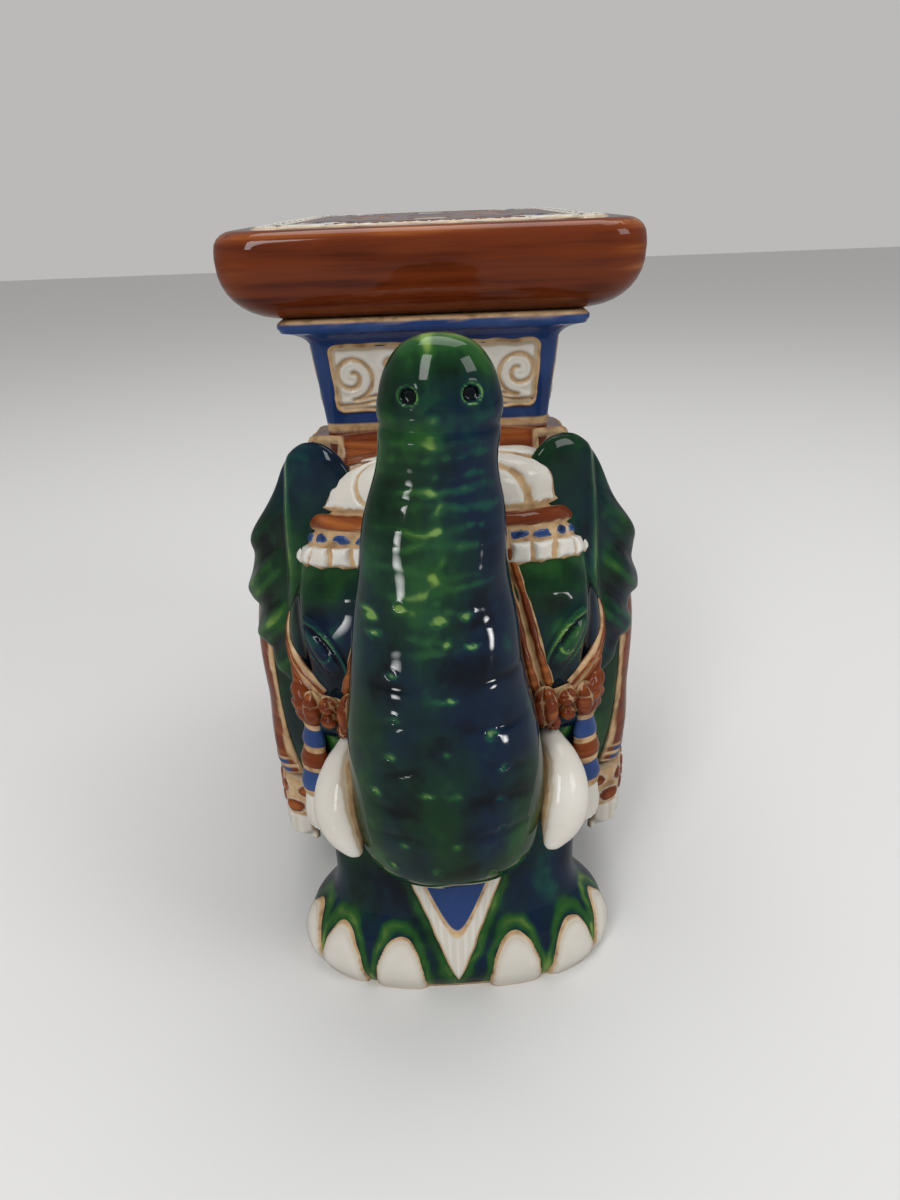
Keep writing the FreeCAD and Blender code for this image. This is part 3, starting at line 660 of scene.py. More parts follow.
thin = thin + np.clip(crests(face, outward, True, 3) * 0.4, -0.1, 0.2)
cool = 0.16 * step_up(246 - level, 0, 20) - 0.05 * step_up(level, 246, 256)
clay("face", *closed(face), {"thin": thin, "navy": cool}, "green_glaze", ["head"])

# The trunk's skin: ribs across it, wrinkles down its sides, pits and the two nostrils.
ribs = ((338, 0.5, 0), (331.5, 1, 2), (325, 0.8, -1), (318, 1.2, 1), (310, 0.9, -2), (301, 1.3, 2),
        (291, 1.0, -2), (281, 1.2, 3), (271, 1.1, -3), (260, 0.9, 2), (249, 0.8, -2), (238, 0.6, 3))
wrinkles = ((226, 3), (204, -4), (181, 2), (160, -3), (140, 0))
pits = ((-33.8, 258.5, 3.2), (-20, 264, 2.2), (-2.7, 257, 3.4), (10.4, 258, 3.0), (-32.5, 248.3, 2.4),
        (1.0, 245.2, 2.2), (13, 243, 2.2), (-26.1, 228.7, 2.4), (0.9, 217.1, 2.6), (-26.0, 205.6, 2.6),
        (20.4, 195.6, 2.8), (-29.3, 184.6, 2.4), (-1.1, 187.9, 2.4), (27, 176, 2.2), (-37.9, 162.2, 2.6),
        (-11.7, 164.7, 2.6), (2.9, 163.7, 2.4), (24, 158, 2.4), (-23.9, 131.7, 2.4), (2.5, 132.2, 2.3),
        (25.6, 139.2, 2.6), (-32.0, 113.5, 2.4), (-8.3, 114.4, 2.4), (20, 108, 2.2), (-6.5, 92.4, 2.2))
nostrils = ((-10.6, 358.5), (14.9, 358.7))
hide = trunk_form(330, 290)
outward = normals(hide, True)
x, y, z = hide[..., 0], hide[..., 1], hide[..., 2]
before = y < trunk_cad["front"] + 0.62 * trunk_cad["depth"]
patchy = step_up(waves(hide, 15, 24) + 0.6 * waves(hide, 7, 25), -0.15, 0.55)
rib = sum(weight * mound(z - place - slant * np.sin((x + place) / 17) - 0.6 * np.sin(x / 5 + place), 2.1)
          for place, weight, slant in ribs)
rib = rib * before * step_up(38 - np.abs(x), 0, 24)
wrinkle = sum(mound(z - place + 0.16 * np.abs(x - 2) - 3 * np.sin((x + place) / 13), 2.6)
              * step_up(np.abs(x + 2 - sway), 9, 20) * step_up(44 - np.abs(x), 0, 12)
              for place, sway in wrinkles) * before
stripe = mound(x + 1.5 - 1.6 * np.sin(z / 11), 3.0) * step_up(z, 250, 275) * (before & (z < 352))
crown = mound(x + 2.4, 2.2) * step_up(z, 360, 372) * before
relief = 0.09 * rib - 0.55 * wrinkle + 0.35 * stripe + waves(hide, 70, 21) * 0.8 + waves(hide, 30, 22) * 0.25
thin = -0.03 + rib * (0.09 + 0.13 * patchy) + 0.20 * stripe * (0.35 + 0.65 * patchy) + 0.22 * crown
thin = thin + 0.09 * mound(x + 3, 9) * step_up(z, 120, 250) * patchy - 0.10 * wrinkle
thin = thin + 0.05 * waves(hide, 30, 23)
for px, pz, radius in pits:
    far = np.hypot((x - px) * 0.9, z - pz)
    relief = relief - before * (1.1 * mound(far, radius * 0.55) - 0.3 * mound(far - radius, radius * 0.5))
    shape = far + 1.3 * waves(hide, 6, 26) + 0.7 * waves(hide, 3, 27)
    thin = thin + before * (0.38 + 0.06 * radius * step_up(pz, 150, 260)) * mound(
        np.hypot(shape, 0.6 * (z - pz + 1)), radius * 0.95)
for px, pz in nostrils:
    far = np.hypot(x - px, z - pz)
    relief = relief - before * (2.6 * step_up(3.7 - far, 0, 1.2) - 0.4 * mound(far - 4.3, 0.8))
    thin = thin + before * (0.42 * mound(far - 4.0, 0.5) - 0.4 * (far < 3.2))
lip = mound(z - 344, 3.0) * before
relief = relief - lip + 0.5 * mound(z - 352, 5) * step_up(np.abs(x + 2), 14, 22)
rim = step_up(z + 0.010 * (x + 2) ** 2, 366, 382)
thin = thin + 0.20 * rim + 0.10 * mound(z - 349, 3) * step_up(np.abs(x), 12, 20) * before
cool = (-0.01 + 0.12 * step_up(x, 2, 26) + 0.08 * step_up(z, 190, 240) - 0.09 * mound(x + 6, 14)
        - 0.07 * step_up(190 - z, 0, 40)) * step_up(352 - z, 0, 10) + 0.10 * mound(z - 356, 14)
hide = hide + outward * relief[..., None]
hide = meet(hide, outward, [head_tree, front_leg_tree], 9)
clay("raised_trunk", *closed(hide), {"thin": thin, "navy": cool - 0.3 * rim}, "green_glaze", ["trunk"])


# The tusks: solid rolls of clay bent round the sides of the trunk, glazed white up to a bare
# line where they touch it.
tusk = {"radius": 12.5, "root_height": 158.0, "tip_height": 115.0, "root_y": -166.0 + shift,
        "tip_y": -214.0 + shift}
tusk_shares = (
    (1.05, -0.03, -0.06, 0.05),
    (1.06, 0.00, -0.03, 0.32),
    (1.10, 0.13, 0.12, 0.72),
    (1.15, 0.29, 0.30, 1.00),
    (1.18, 0.46, 0.50, 1.14),
    (1.17, 0.61, 0.69, 1.12),
    (1.12, 0.74, 0.86, 0.90),
    (1.05, 0.84, 1.00, 0.54),
    (1.00, 0.89, 1.08, 0.22),
    (0.99, 0.90, 1.10, 0.02),
)


round_full = 0.5523


def rod_form(path, around):
    """A round form through places in mm, each with its radius in the last column."""
    middle, radius = path[:, :3], path[:, 3]
    along = np.gradient(middle, axis=0)
    along /= np.linalg.norm(along, axis=1, keepdims=True)
    side = np.array([1.0, 0, 0]) - along * along[:, :1]
    side /= np.linalg.norm(side, axis=1, keepdims=True)
    over = np.cross(along, side)
    return lofted(middle, side * radius[:, None], over * radius[:, None], -over * radius[:, None],
                  around, round_full, round_full)


def gap_to(tree, points):
    """How far each point is from a form."""
    flat = points.reshape(-1, 3)
    return np.array([tree.find_nearest(Vector(p))[3] for p in flat]).reshape(points.shape[:-1])


for name, side in (("left_tusk", 1), ("right_tusk", -1)):
    path = smooth_rows([(side * across * trunk_cad["half_width"],
                         tusk["root_y"] + forward * (tusk["tip_y"] - tusk["root_y"]),
                         tusk["root_height"] + down * (tusk["tip_height"] - tusk["root_height"]),
                         share * tusk["radius"]) for across, forward, down, share in tusk_shares], 110)
    grid = rod_form(path, 96)
    outward = normals(grid, True)
    gap = gap_to(trunk_tree, grid)
    grid = grid + outward * (waves(grid, 30, 31) * 0.35 - 0.8 * mound(gap, 3))[..., None]
    edge = gap + waves(grid, 9, 32) * 0.6
    marks_here = {"bare": 1 - step_up(edge, 2.6, 4.0), "thin": 0.12 - 0.55 * mound(edge - 4.4, 1.8)}
    clay(name + "_roll", *closed(grid), marks_here, "white_glaze", [name])


# The ears: thin fans of clay, pinched into broad ridges that run down and outwards to a wavy
# edge, with a smooth raised flap beside the headdress.
ear = {"foot": (66.0, -134.0 + shift, 164.0), "height": 154.0, "reach": 54.0, "root": 30.0,
       "thickness": 11.0, "sweep": math.radians(26), "ridge_spacing": 30.0}
ear_shares = (
    (-0.01, -0.32, 0.33),
    (0.00, -0.30, 0.38),
    (0.05, 0.00, 0.54),
    (0.13, 0.60, 0.76),
    (0.24, 1.00, 0.93),
    (0.38, 1.00, 1.00),
    (0.50, 1.00, 0.98),
    (0.60, 1.00, 0.86),
    (0.72, 1.00, 0.68),
    (0.84, 0.95, 0.46),
    (0.94, 0.70, 0.27),
    (1.00, 0.30, 0.05),
    (1.006, 0.10, -0.06),
)
for name, side in (("left_ear", 1), ("right_ear", -1)):
    z, inner, outer = smooth_rows([(level * ear["height"], -root * ear["root"], tip * ear["reach"])
                                   for level, root, tip in ear_shares], 180).T
    wave = np.sin(2 * math.pi * (z + 0.7 * outer) / ear["ridge_spacing"] + 0.5 * side)
    outer = outer + 0.9 * wave * step_up(outer, 8, 34)
    away = np.array([math.cos(ear["sweep"]), math.sin(ear["sweep"]), 0])
    ahead = np.array([math.sin(ear["sweep"]), -math.cos(ear["sweep"]), 0])
    middle = np.array(ear["foot"]) + vectors(0, 0, z) + away * ((outer + inner) / 2)[:, None]
    half = np.full(len(z), ear["thickness"] / 2)
    half = half * np.minimum(1, 0.15 + np.sqrt(np.clip(np.minimum(z, ear["height"] - z), 0, 99) / 9))
    fan = lofted(middle, away * ((outer - inner) / 2)[:, None], ahead * half[:, None],
                 -ahead * half[:, None], 200, 0.62, 0.62)
    reach = (fan - np.array(ear["foot"])) @ away
    rise = fan[..., 2] - ear["foot"][2]
    ridge = np.sin(2 * math.pi * (rise + 0.7 * reach) / ear["ridge_spacing"] + 0.5 * side)
    ridge = ridge + 0.12 * np.sin(2 * math.pi * (rise + 0.9 * reach) / 11.0)
    spread = step_up(reach, 15, 38) * step_up(rise, 6, 30)
    line = 17 - 0.06 * (rise - 90)
    flap = (1 - step_up(reach, line - 3, line + 3)) * step_up(rise, 40, 80)
    bend = 2.7 * ridge * spread + 3.2 * flap - 6 * step_up(reach, 28, 60) ** 2
    fan = fan + ahead * bend[..., None]
    outward = normals(fan, True)
    fan = fan + outward * (waves(fan, 30, 41) * 0.5)[..., None]
    fan[..., 0] *= side
    outward = normals(fan, True)
    blotch = step_up(waves(fan, 20, 42), -0.4, 0.7)
    thin = -0.04 + 0.17 * ridge * spread * blotch + 0.28 * mound(reach - line, 1.5) * step_up(rise, 60, 90)
    thin = thin + np.clip(crests(fan, outward, True, 3) * 0.3, -0.08, 0.2)
    fan = meet(fan, outward, [head_tree], 7)
    marks_here = {"thin": thin, "navy": 0.06 - 0.05 * ridge * spread}
    clay(name + "_fan", *closed(fan), marks_here, "green_glaze", [name])


def joined(parts):
    """One piece out of several separate lumps, each given as corners, faces and marks."""
    faces, start = [], 0
    for lump_corners, lump_faces, _ in parts:
        faces += [[start + i for i in face] for face in lump_faces]
        start += len(lump_corners)
    painted = {key: np.concatenate([np.ravel(lump[2][key]) for lump in parts]) for key in parts[0][2]}
    return np.concatenate([lump[0] for lump in parts]), faces, painted


def pad(top, under, painted):
    """A closed pad: its upper grid of points, and a lower grid or one point inside the form."""
    rows, columns, _ = top.shape
    size = rows * columns
    under = np.asarray(under, float).reshape(-1, 3)
    faces = grid_faces(rows, columns, False)
    rim = ([(i, 0) for i in range(rows)] + [(rows - 1, j) for j in range(1, columns)]
           + [(i, columns - 1) for i in range(rows - 2, -1, -1)]
           + [(0, j) for j in range(columns - 2, 0, -1)])
    rim = [i * columns + j for i, j in rim]
    if len(under) == 1:
        faces += [[a, b, size] for a, b in zip(rim, rim[1:] + rim[:1])]
    else:
        faces += [[size + i for i in reversed(face)] for face in faces]
        faces += [[a, b, size + b, size + a] for a, b in zip(rim, rim[1:] + rim[:1])]
    both = {key: np.concatenate([np.ravel(values), np.zeros(len(under))])
            for key, values in painted.items()}
    return np.concatenate([top.reshape(-1, 3), under]), faces, both


def cast(tree, starts, directions):
    """Where lines from inside a form come out through its surface."""
    shape = starts.shape
    found = np.empty((starts.size // 3, 3))
    for i, (start, direction) in enumerate(zip(starts.reshape(-1, 3), directions.reshape(-1, 3))):
        hit = tree.ray_cast(Vector(start), Vector(direction))[0]
        found[i] = hit if hit is not None else tree.find_nearest(Vector(start))[0]
    return found.reshape(shape)


def laid(tree, points):
    """The nearest places on a form to a grid of points."""
    found = [tree.find_nearest(Vector(p))[0] for p in points.reshape(-1, 3)]
    return np.array(found).reshape(points.shape)


def relaxed(points, times):
    """A grid with small facets smoothed out of it, its rim kept."""
    points = points.copy()
    for _ in range(times):
        middle = (points[2:, 1:-1] + points[:-2, 1:-1] + points[1:-1, 2:] + points[1:-1, :-2]) / 4
        points[1:-1, 1:-1] = middle
    return points


def facing(outward, direction):
    """Directions turned, all together, so that they point the way that is given."""
    return outward if np.sum(outward * direction) > 0 else -outward


def travel(points, axis):
    """Distance travelled along a grid's rows (axis 1) or columns (axis 0), in mm."""
    step = np.linalg.norm(np.diff(points, axis=axis), axis=-1)
    pad_width = [(1, 0), (0, 0)] if axis == 0 else [(0, 0), (1, 0)]
    return np.cumsum(np.pad(step, pad_width), axis=axis)


# The headdress: a cap pressed thick with puffed white pads, with a rolled brown band across
# it, and below the band a row of blue ovals and a row of white squares. Every pad is an
# island of glaze in bare clay.
cap = {"hem": 247.0, "tilt": math.radians(14), "squares": 12.3, "band": 19.0, "band_width": 8.0,
       "pads": 28.5, "turn": 31.0, "end": 57.0, "half_turn": math.radians(97), "cell": 13.0,
       "puff": 4.6}
cap_middle = np.array([0.0, cad["front"], cap["hem"]])
cap_rise = np.array([0.0, math.sin(cap["tilt"]), math.cos(cap["tilt"])])
cap_ahead = np.array([0.0, -math.cos(cap["tilt"]), math.sin(cap["tilt"])])


def cap_grid(levels, columns):
    """Rows over the head at levels above the hem, which lean in over the top from cap turn on."""
    turn = np.linspace(-cap["half_turn"], cap["half_turn"], columns)[None, :, None]
    flat = np.minimum(levels, cap["turn"])
    tip = np.radians(np.maximum(levels - cap["turn"], 0) * 1.55)[:, None, None]
    ring = np.array([1.0, 0, 0]) * np.sin(turn) + cap_ahead * np.cos(turn)
    starts = cap_middle + cap_ahead * 4 + cap_rise * flat[:, None, None] + ring * 0
    grid = cast(head_tree, starts, ring * np.cos(tip) + cap_rise * np.sin(tip))
    return relaxed(grid, 4), np.degrees(turn[..., 0])


def cells(along, spacing):
    """Distance along from the middle of the nearest cell."""
    return (along / spacing - np.round(along / spacing)) * spacing


levels = np.concatenate([np.linspace(-2.5, cap["turn"], 66),
                         np.linspace(cap["turn"], cap["end"], 54)[1:]])
under, turned = cap_grid(levels, 420)
outward = facing(normals(under, False), cap_ahead * 0.6 + cap_rise)
level = (under - cap_middle) @ cap_rise
along = travel(under, 1)
along = np.broadcast_to((along - along[:, along.shape[1] // 2][:, None])[20], level.shape)
over = travel(under, 0)
over = over - over[np.argmin(np.abs(levels - cap["pads"]))]
above = levels[:, None] > cap["pads"]
wavy = level + waves(under, 12, 51) * 0.4
spread = along + waves(under, 15, 56) * 1.2
hem = wavy - 1.2 * np.abs(np.sin(math.pi * spread / cap["cell"])) + 1.0
square = np.maximum(np.abs(cells(spread, cap["cell"])) - 5.9, np.abs(wavy - 6.3) - 5.2)
square = square + waves(under, 5, 57) * 0.25
oval = (np.hypot(cells(spread, cap["cell"]) / 5.6, (wavy - 15.0) / 2.9) - 1) * 2.9
oval = oval + waves(under, 6, 58) * 0.5
# The grooves between the pads: three arches on one side, a button, a bow and a scroll on the other.
dome = (np.hypot(turned / 44, over / 27) - 1) * 24
second = (np.hypot(turned / 61, over / 38) - 1) * 34
third = (np.hypot(turned / 80, over / 52) - 1) * 46
button = np.hypot((turned + 33) * 1.25, over - 14) - 12
upper = np.hypot(np.maximum(np.abs(turned + 24) - 13, 0) * 1.2, over - 35 + 0.12 * (turned + 24)) - 7.5
scroll = np.hypot((turned + 56) * 1.2, over - 16) - 5
right_groove = np.minimum.reduce([np.abs(dome), np.abs(second), np.abs(third)])
left_groove = np.minimum.reduce([np.abs(button), np.abs(upper) + 30 * (button < 0), np.abs(third),
                                 np.abs(second) + 30 * (upper < 3) + 30 * (button < 3),
                                 np.abs(scroll) + 30 * (turned > -53)])
crease = np.maximum(np.abs(over - 35 + 0.12 * (turned + 24)) + 0.3, np.abs(turned + 22) - 10)
groove = np.where(turned > 0, right_groove, np.minimum(left_groove, crease + 0.5))
groove = np.minimum(groove, np.abs(over - 0.2)) + waves(under, 7, 52) * 0.3
pads = step_up(groove, 0.3, 2.4) * above
puffed = np.clip(groove / 9, 0, 1) ** 0.5 * above
squares = step_up(-square, -0.2, 2.0) * (levels[:, None] < cap["squares"])
ovals = step_up(-oval, -0.1, 1.3)
side = step_up(np.abs(turned), 20, 60)
settle = step_up(levels, 38, cap["end"])[:, None]
lean_to = (0.45 * step_up(over, -4, 0) + 0.55 * step_up(over, 0, 16) * (1 - 0.6 * side)) * above
height = (-1.2 + step_up(hem, 0, 1.6) * 3.2 + 1.7 * squares + 1.6 * ovals
          + lean_to * cap["puff"] + 1.2 * pads + 2.0 * puffed * (1 - 0.5 * side)
          + side * (5.0 + 2.5 * np.tanh(turned / 30)) * step_up(over, 0, 13) - (7.0 + 3.0 * side) * settle
          + 1.3 * np.clip(-square / 4, 0, 1) ** 0.7 * squares
          - 1.8 * step_up(np.abs(turned), 45, 75) * (1 - above))
top = under + outward * (height + waves(under, 14, 53) * 0.3)[..., None]
white = step_up(np.maximum(pads, squares), 0.16, 0.42)
blue = step_up(ovals, 0.3, 0.6)
specks = step_up(waves(under, 2.6, 59) + 0.7 * waves(under, 1.7, 60), 1.25, 1.4) * 0.8
worn = np.clip(crests(top, outward, False) * 0.5, -0.3, 0.2)
clay("headdress_pads", *pad(top, [(0, cad["front"] + 4, cap["hem"] + 12)], {
    "bare": 1 - np.maximum(white, blue), "blue": blue, "thin": 0.10 * white + 0.05 * blue + worn
    - (1 - white) * (0.35 * mound(groove, 0.9) + 0.6 * specks)}), "white_glaze", ["headdress"])

levels = np.linspace(cap["band"] - 1.4, cap["band"] + cap["band_width"] + 1.4, 22)
under, turned = cap_grid(levels, 300)
outward = facing(normals(under, False), cap_ahead * 0.6 + cap_rise)
round_over = (levels - cap["band"] - cap["band_width"] / 2) / (cap["band_width"] / 2 + 0.3)
bow = np.sqrt(np.clip(1 - np.clip(np.abs(round_over), 0, 1) ** 3, 0, 1))[:, None]
top = under + outward * (0.4 + 3.9 * bow + waves(under, 20, 54) * 0.35)[..., None]
bare = step_up(np.abs(round_over)[:, None] + waves(under, 8, 55) * 0.07, 0.74, 0.92)
clay("headdress_roll", *pad(top, [(0, cad["front"] + 4, cap["hem"] + 20)], {
    "bare": bare, "thin": 0.30 * bow - 0.12 + 0.08 * waves(under, 25, 61)}), "brown_glaze",
     ["headdress_band"])


# The bridle: a cheek strap behind the eye and a double strap beside the trunk, laid on as
# strips of clay, meeting in a ring of knots above the tusk. Brown glaze, with bare edges.
def strip(tree, path, half_width, count, columns, profile, side):
    """A strip laid along a path on a form; profile gives its height and marks."""
    middle = laid(tree, smooth_rows([(side * x, y, z) for x, y, z in path], count)[None])[0]
    along = np.gradient(middle, axis=0)
    step = np.linalg.norm(along, axis=1)
    along /= step[:, None]
    face_out = np.array([tree.find_nearest(Vector(p))[1] for p in middle])
    sideways = np.cross(along, face_out)
    sideways /= np.linalg.norm(sideways, axis=1, keepdims=True)
    widths = half_width * np.linspace(*profile["widths"], count)
    across = np.linspace(-1, 1, columns)
    under = laid(tree, middle[:, None] + sideways[:, None] * (widths[:, None] * across)[..., None])
    under = relaxed(under, 3)
    outward = facing(normals(under, False), face_out[:, None])
    travelled = np.cumsum(step)[:, None]
    place = (across + 1) / 2 * profile["bands"]
    inside = 1 - np.abs(place - np.floor(np.clip(place, 0, profile["bands"] - 0.001)) - 0.5) * 2
    inside = inside[None] + 0.06 * np.sin(travelled / 2.3) + 0.05 * np.sin(travelled / 5.1)
    rolled = step_up(inside, 0.05, 0.9)
    bare = 1 - step_up(inside, profile["edge"], profile["edge"] + 0.2)
    height = 0.2 + profile["relief"] * rolled ** 0.7
    return pad(under + outward * height[..., None], under - outward * 1.5,
               {"bare": bare, "thin": 0.30 * rolled - 0.15 + 0.1 * np.sin(travelled / 9.0)})


def knot(tree, place, size, lobes, seed):
    """A knot: a lump of clay with a few turns pinched into it, bare where it is stuck on."""
    turn = np.linspace(-math.pi / 2, math.pi / 2, 36)[:, None]
    spin = np.linspace(0, 2 * math.pi, 60, endpoint=False)[None]
    lump = vectors(np.cos(turn) * np.cos(spin), np.cos(turn) * np.sin(spin), np.sin(turn) + spin * 0)
    pinch = np.abs(np.sin(lobes / 2 * spin + 0.5 * turn + seed)) * np.abs(np.cos(2.2 * turn + seed)) ** 0.6
    grid = np.array(place) + lump * np.array(size) * (0.88 + 0.14 * step_up(pinch, 0, 0.7))[..., None]
    gap = gap_to(tree, grid)
    corners, faces = closed(grid)
    bare = np.maximum(1 - step_up(gap, 0.38 * gap.max(), 0.56 * gap.max()),
                      0.6 * (1 - step_up(pinch, 0.04, 0.16)))
    ends = np.zeros(2)
    return corners, faces, {"bare": np.concatenate([np.ravel(bare), ends]),
                            "thin": np.concatenate([np.ravel(0.35 * pinch - 0.15), ends])}


cheek_strap = {"bands": 2, "edge": 0.42, "relief": 2.6, "widths": (0.75, 1.15)}
face_strap = {"bands": 2, "edge": 0.32, "relief": 3.0, "widths": (0.75, 1.2)}
knot_bed = {"bands": 1, "edge": 2.0, "relief": 2.4, "widths": (1.0, 1.0)}
cheek_path = ((77, -114, 256), (86, -112, 240), (90.5, -112, 224), (87, -125, 210), (79, -140, 198),
              (68, -151, 185))
face_path = ((31, -158, 268), (36, -159, 250), (41, -160, 230), (46, -160, 208), (51, -160, 189))
bed_path = ((46, -164, 178), (60, -158, 178), (74, -150, 180), (82, -140, 184))
knots = (((52, -163, 179), (8.0, 6.5, 12.5), 4, 0.4), ((64.5, -158, 182), (5.5, 5.0, 5.0), 2, 1.0),
         ((65, -157, 172), (5.0, 4.5, 4.5), 2, 0.2), ((74.5, -151, 177), (6.5, 6.0, 10.5), 3, 0.9),
         ((57, -161, 168), (4.0, 4.0, 5.0), 2, 2.1))
for name, side in (("left_bridle", 1), ("right_bridle", -1)):
    parts = [strip(head_tree, cheek_path, 4.6, 90, 30, cheek_strap, side),
             strip(head_tree, face_path, 6.6, 90, 40, face_strap, side),
             strip(head_tree, bed_path, 8.0, 50, 24, knot_bed, side)]
    parts += [knot(head_tree, (side * x, y, z), size, lobes, seed) for (x, y, z), size, lobes, seed in knots]
    clay(name + "_straps", *joined(parts), "brown_glaze", [name])


# Shoulder tassels: a knotted brown bunch, blue and brown beads and a white fringe, luted to
# the front legs behind the tusks, with bare clay between the colours.
tassel_rows = (
    # height, half width, colour
    (196, 3.6, "brown"), (189, 4.4, "brown"), (187, 7.0, "brown"), (178, 9.6, "brown"),
    (168, 8.6, "brown"), (162, 6.0, "bare"), (160, 6.4, "blue"), (153, 8.4, "blue"),
    (148, 7.6, "bare"), (146, 8.6, "brown"), (141, 10.2, "brown"), (136, 8.6, "bare"),
    (134, 8.0, "blue"), (126, 9.8, "blue"), (119, 8.6, "bare"), (117, 7.6, "white"),
    (108, 8.6, "white"), (99, 9.4, "white"), (94, 8.4, "white"), (92, 4.0, "bare"), (91.5, 0.3, "bare"))
tassel_line = ((77.5, -145.0, 84.0), (78.5, -146.0, 105.0), (78.5, -147.0, 126.0), (77.5, -146.0, 141.0),
               (76.5, -144.5, 160.0), (79.0, -146.0, 180.0), (85.0, -136.0, 200.0))
for name, side in (("left_shoulder_tassel", 1), ("right_shoulder_tassel", -1)):
    places, halves, colours = (np.array(column) for column in zip(*tassel_rows))
    heights = np.linspace(places[0], places[-1], 180)
    line_x, line_y, line_z = np.array(tassel_line).T
    middle = vectors(side * np.interp(heights, line_z, line_x), np.interp(heights, line_z, line_y), heights)
    half = np.interp(-heights, -places, halves)
    half[1:-1] = (half[:-2] + 2 * half[1:-1] + half[2:]) / 4
    outward = np.array([side * 0.66, -0.75, 0.05])
    sideways = np.cross(outward, [0, 0, 1.0])
    spin = np.linspace(0, 2 * math.pi, 96, endpoint=False)
    shape = (np.cos(spin)[None, :, None] * sideways + 0.62 * np.sin(spin)[None, :, None] * outward)
    ripple = np.ones((len(heights), len(spin)))
    berries = step_up(heights, 163, 167) * step_up(188 - heights, 0, 3)
    lumps = np.abs(np.sin(3 * spin + 0.4))[None] * np.abs(np.sin((heights - 165) / 7.6 * math.pi))[:, None]
    ripple += (0.24 * lumps ** 0.6 - 0.12) * berries[:, None]
    strands = step_up(117 - heights, 0, 3)[:, None] * np.abs(np.sin(7 * spin))[None]
    ripple += 0.08 * strands
    grid = middle[:, None] + shape * (half[:, None] * ripple)[..., None]
    grid = grid + waves(grid, 12, 62)[..., None] * 0.3
    nearest = np.argmin(np.abs(heights[:, None] - places), axis=1)
    painted = {key: (colours[nearest] == key)[:, None] * np.ones(ripple.shape)
               for key in ("brown", "blue", "white", "bare")}
    combed = (1 - step_up(strands, 0.04, 0.2)) * (heights[:, None] < 115) * painted["white"]
    painted["bare"] = np.clip(painted["bare"] + 0.8 * combed, 0, 1)
    painted["thin"] = 0.1 * ripple
    clay(name + "_cord", *closed(grid), painted, "brown_glaze", [name])


# Toenails: arches pressed on round the front of each foot, white up to a bare outline.
def toenails(tree, foot, side):
    """The three nails on one side of a foot block, laid on its form."""
    parts = []
    for place, slope, out in nail_frames(foot, side):
        u = np.linspace(-0.66, 0.66, 37) * nail["width"]
        z = np.linspace(0, 1.07, 42) * nail["height"]
        flat = place + slope * u[None, :, None] + vectors(0, 0, z)[:, None]
        under = relaxed(cast(tree, flat - out * 30, flat * 0 + out), 2)
        under[..., 2] = z[:, None]
        outward = facing(normals(under, False), out)
        inside = arch(u[None], z[:, None]) + waves(under, 9, 61) * 0.35
        height = -1.0 + step_up(inside, -0.6, 1.4) * 2.6 + step_up(inside, 1.5, 6) * 1.2
        bare = 1 - step_up(inside, 1.0, 2.0)
        bare = np.maximum(bare, (1 - step_up(z, 1.2, 2.4))[:, None] + inside * 0)
        parts.append(pad(under + outward * height[..., None], under - outward * 1.5,
                         {"bare": bare, "thin": 0.10 - 0.35 * mound(inside - 2.4, 0.9)}))
    return joined(parts)


for kind, tree, foot in (("front", front_leg_tree, front_foot), ("rear", rear_leg_tree, rear_foot)):
    for name, side in (("left", 1), ("right", -1)):
        clay(f"{name}_{kind}_nails", *toenails(tree, foot, side), "white_glaze",
             [f"{name}_{kind}_toenails"])


# The bib: a pointed cloth that hangs between the front feet, with a fluted white border round
# a plain blue field.
x = np.linspace(-35, 35, 110)
z = np.linspace(3, 92, 126)
starts = vectors(x[None], front_foot["y"], z[:, None])
under = relaxed(cast(front_leg_tree, starts, starts * 0 + np.array([0, -1.0, 0])), 2)
outward = facing(normals(under, False), np.array([0, -1.0, 0]))
inside = ((z[:, None] - bib["point"]) * bib_slope - np.abs(x)[None]) * bib_fall
inside = inside + waves(under, 11, 62) * 0.3
tongue = np.hypot(x[None], 7.0) - 7.0
field = ((z[:, None] - bib["point"]) * bib_slope - tongue - 1.5) * bib_fall - bib["border"] * bib_fall
flute = np.cos(2 * math.pi * x / 4.6)[None] * step_up(inside, 1, 3) * step_up(-field, 0.6, 1.8)
height = -1.0 + step_up(inside, -1.2, 0.8) * 2.6 + step_up(inside, 0.8, 2.8) * 0.8 + flute * 0.35
height = height + 0.5 * step_up(field, 0.5, 3.0) - 0.6 * mound(field, 0.9)
white = step_up(inside, 0.7, 1.5) * step_up(-field, 0.5, 1.0)
blue = step_up(field, 0.5, 1.1)
clay("pointed_bib", *pad(under + outward * height[..., None], under - outward * 1.5, {
    "bare": 1 - np.maximum(white, blue), "blue": blue, "thin": 0.02 + 0.16 * flute}), "white_glaze",
     ["chest_bib_border", "chest_bib_field"])


# The saddle cloth: a thin sheet of clay over both flanks and round the block. It is brown,
# with two blue stripes above the hem, a bare rim and a flower in the middle of each flank.
cloth = {"front": -112.0 + shift, "rear": 124.0 + shift, "hem": 92.0, "shoulder": 190.0,
         "sweep": 28.0, "top": 276.0, "end": 330.0, "relief": 3.5}
picture = {"height": 182.0, "flower": 34, "inner_flower": 20, "heart": 8.0, "half_length": 94,
           "half_height": 58}


def flower(u, v, radius, petals, turn=0.0):
    """Distance inside (more than 0) of a round flower's petals, in the units of u and v."""
    far = np.hypot(u, v)
    spin = np.arctan2(v, u) + turn
    return radius * (0.78 + 0.22 * np.abs(np.cos(petals / 2 * spin)) ** 0.6) - far, far


def between(value, low, high):
    """1 inside a stripe, with soft edges."""
    return step_up(value, low - 0.2, low + 0.5) * step_up(high - value, -0.2, 0.5)


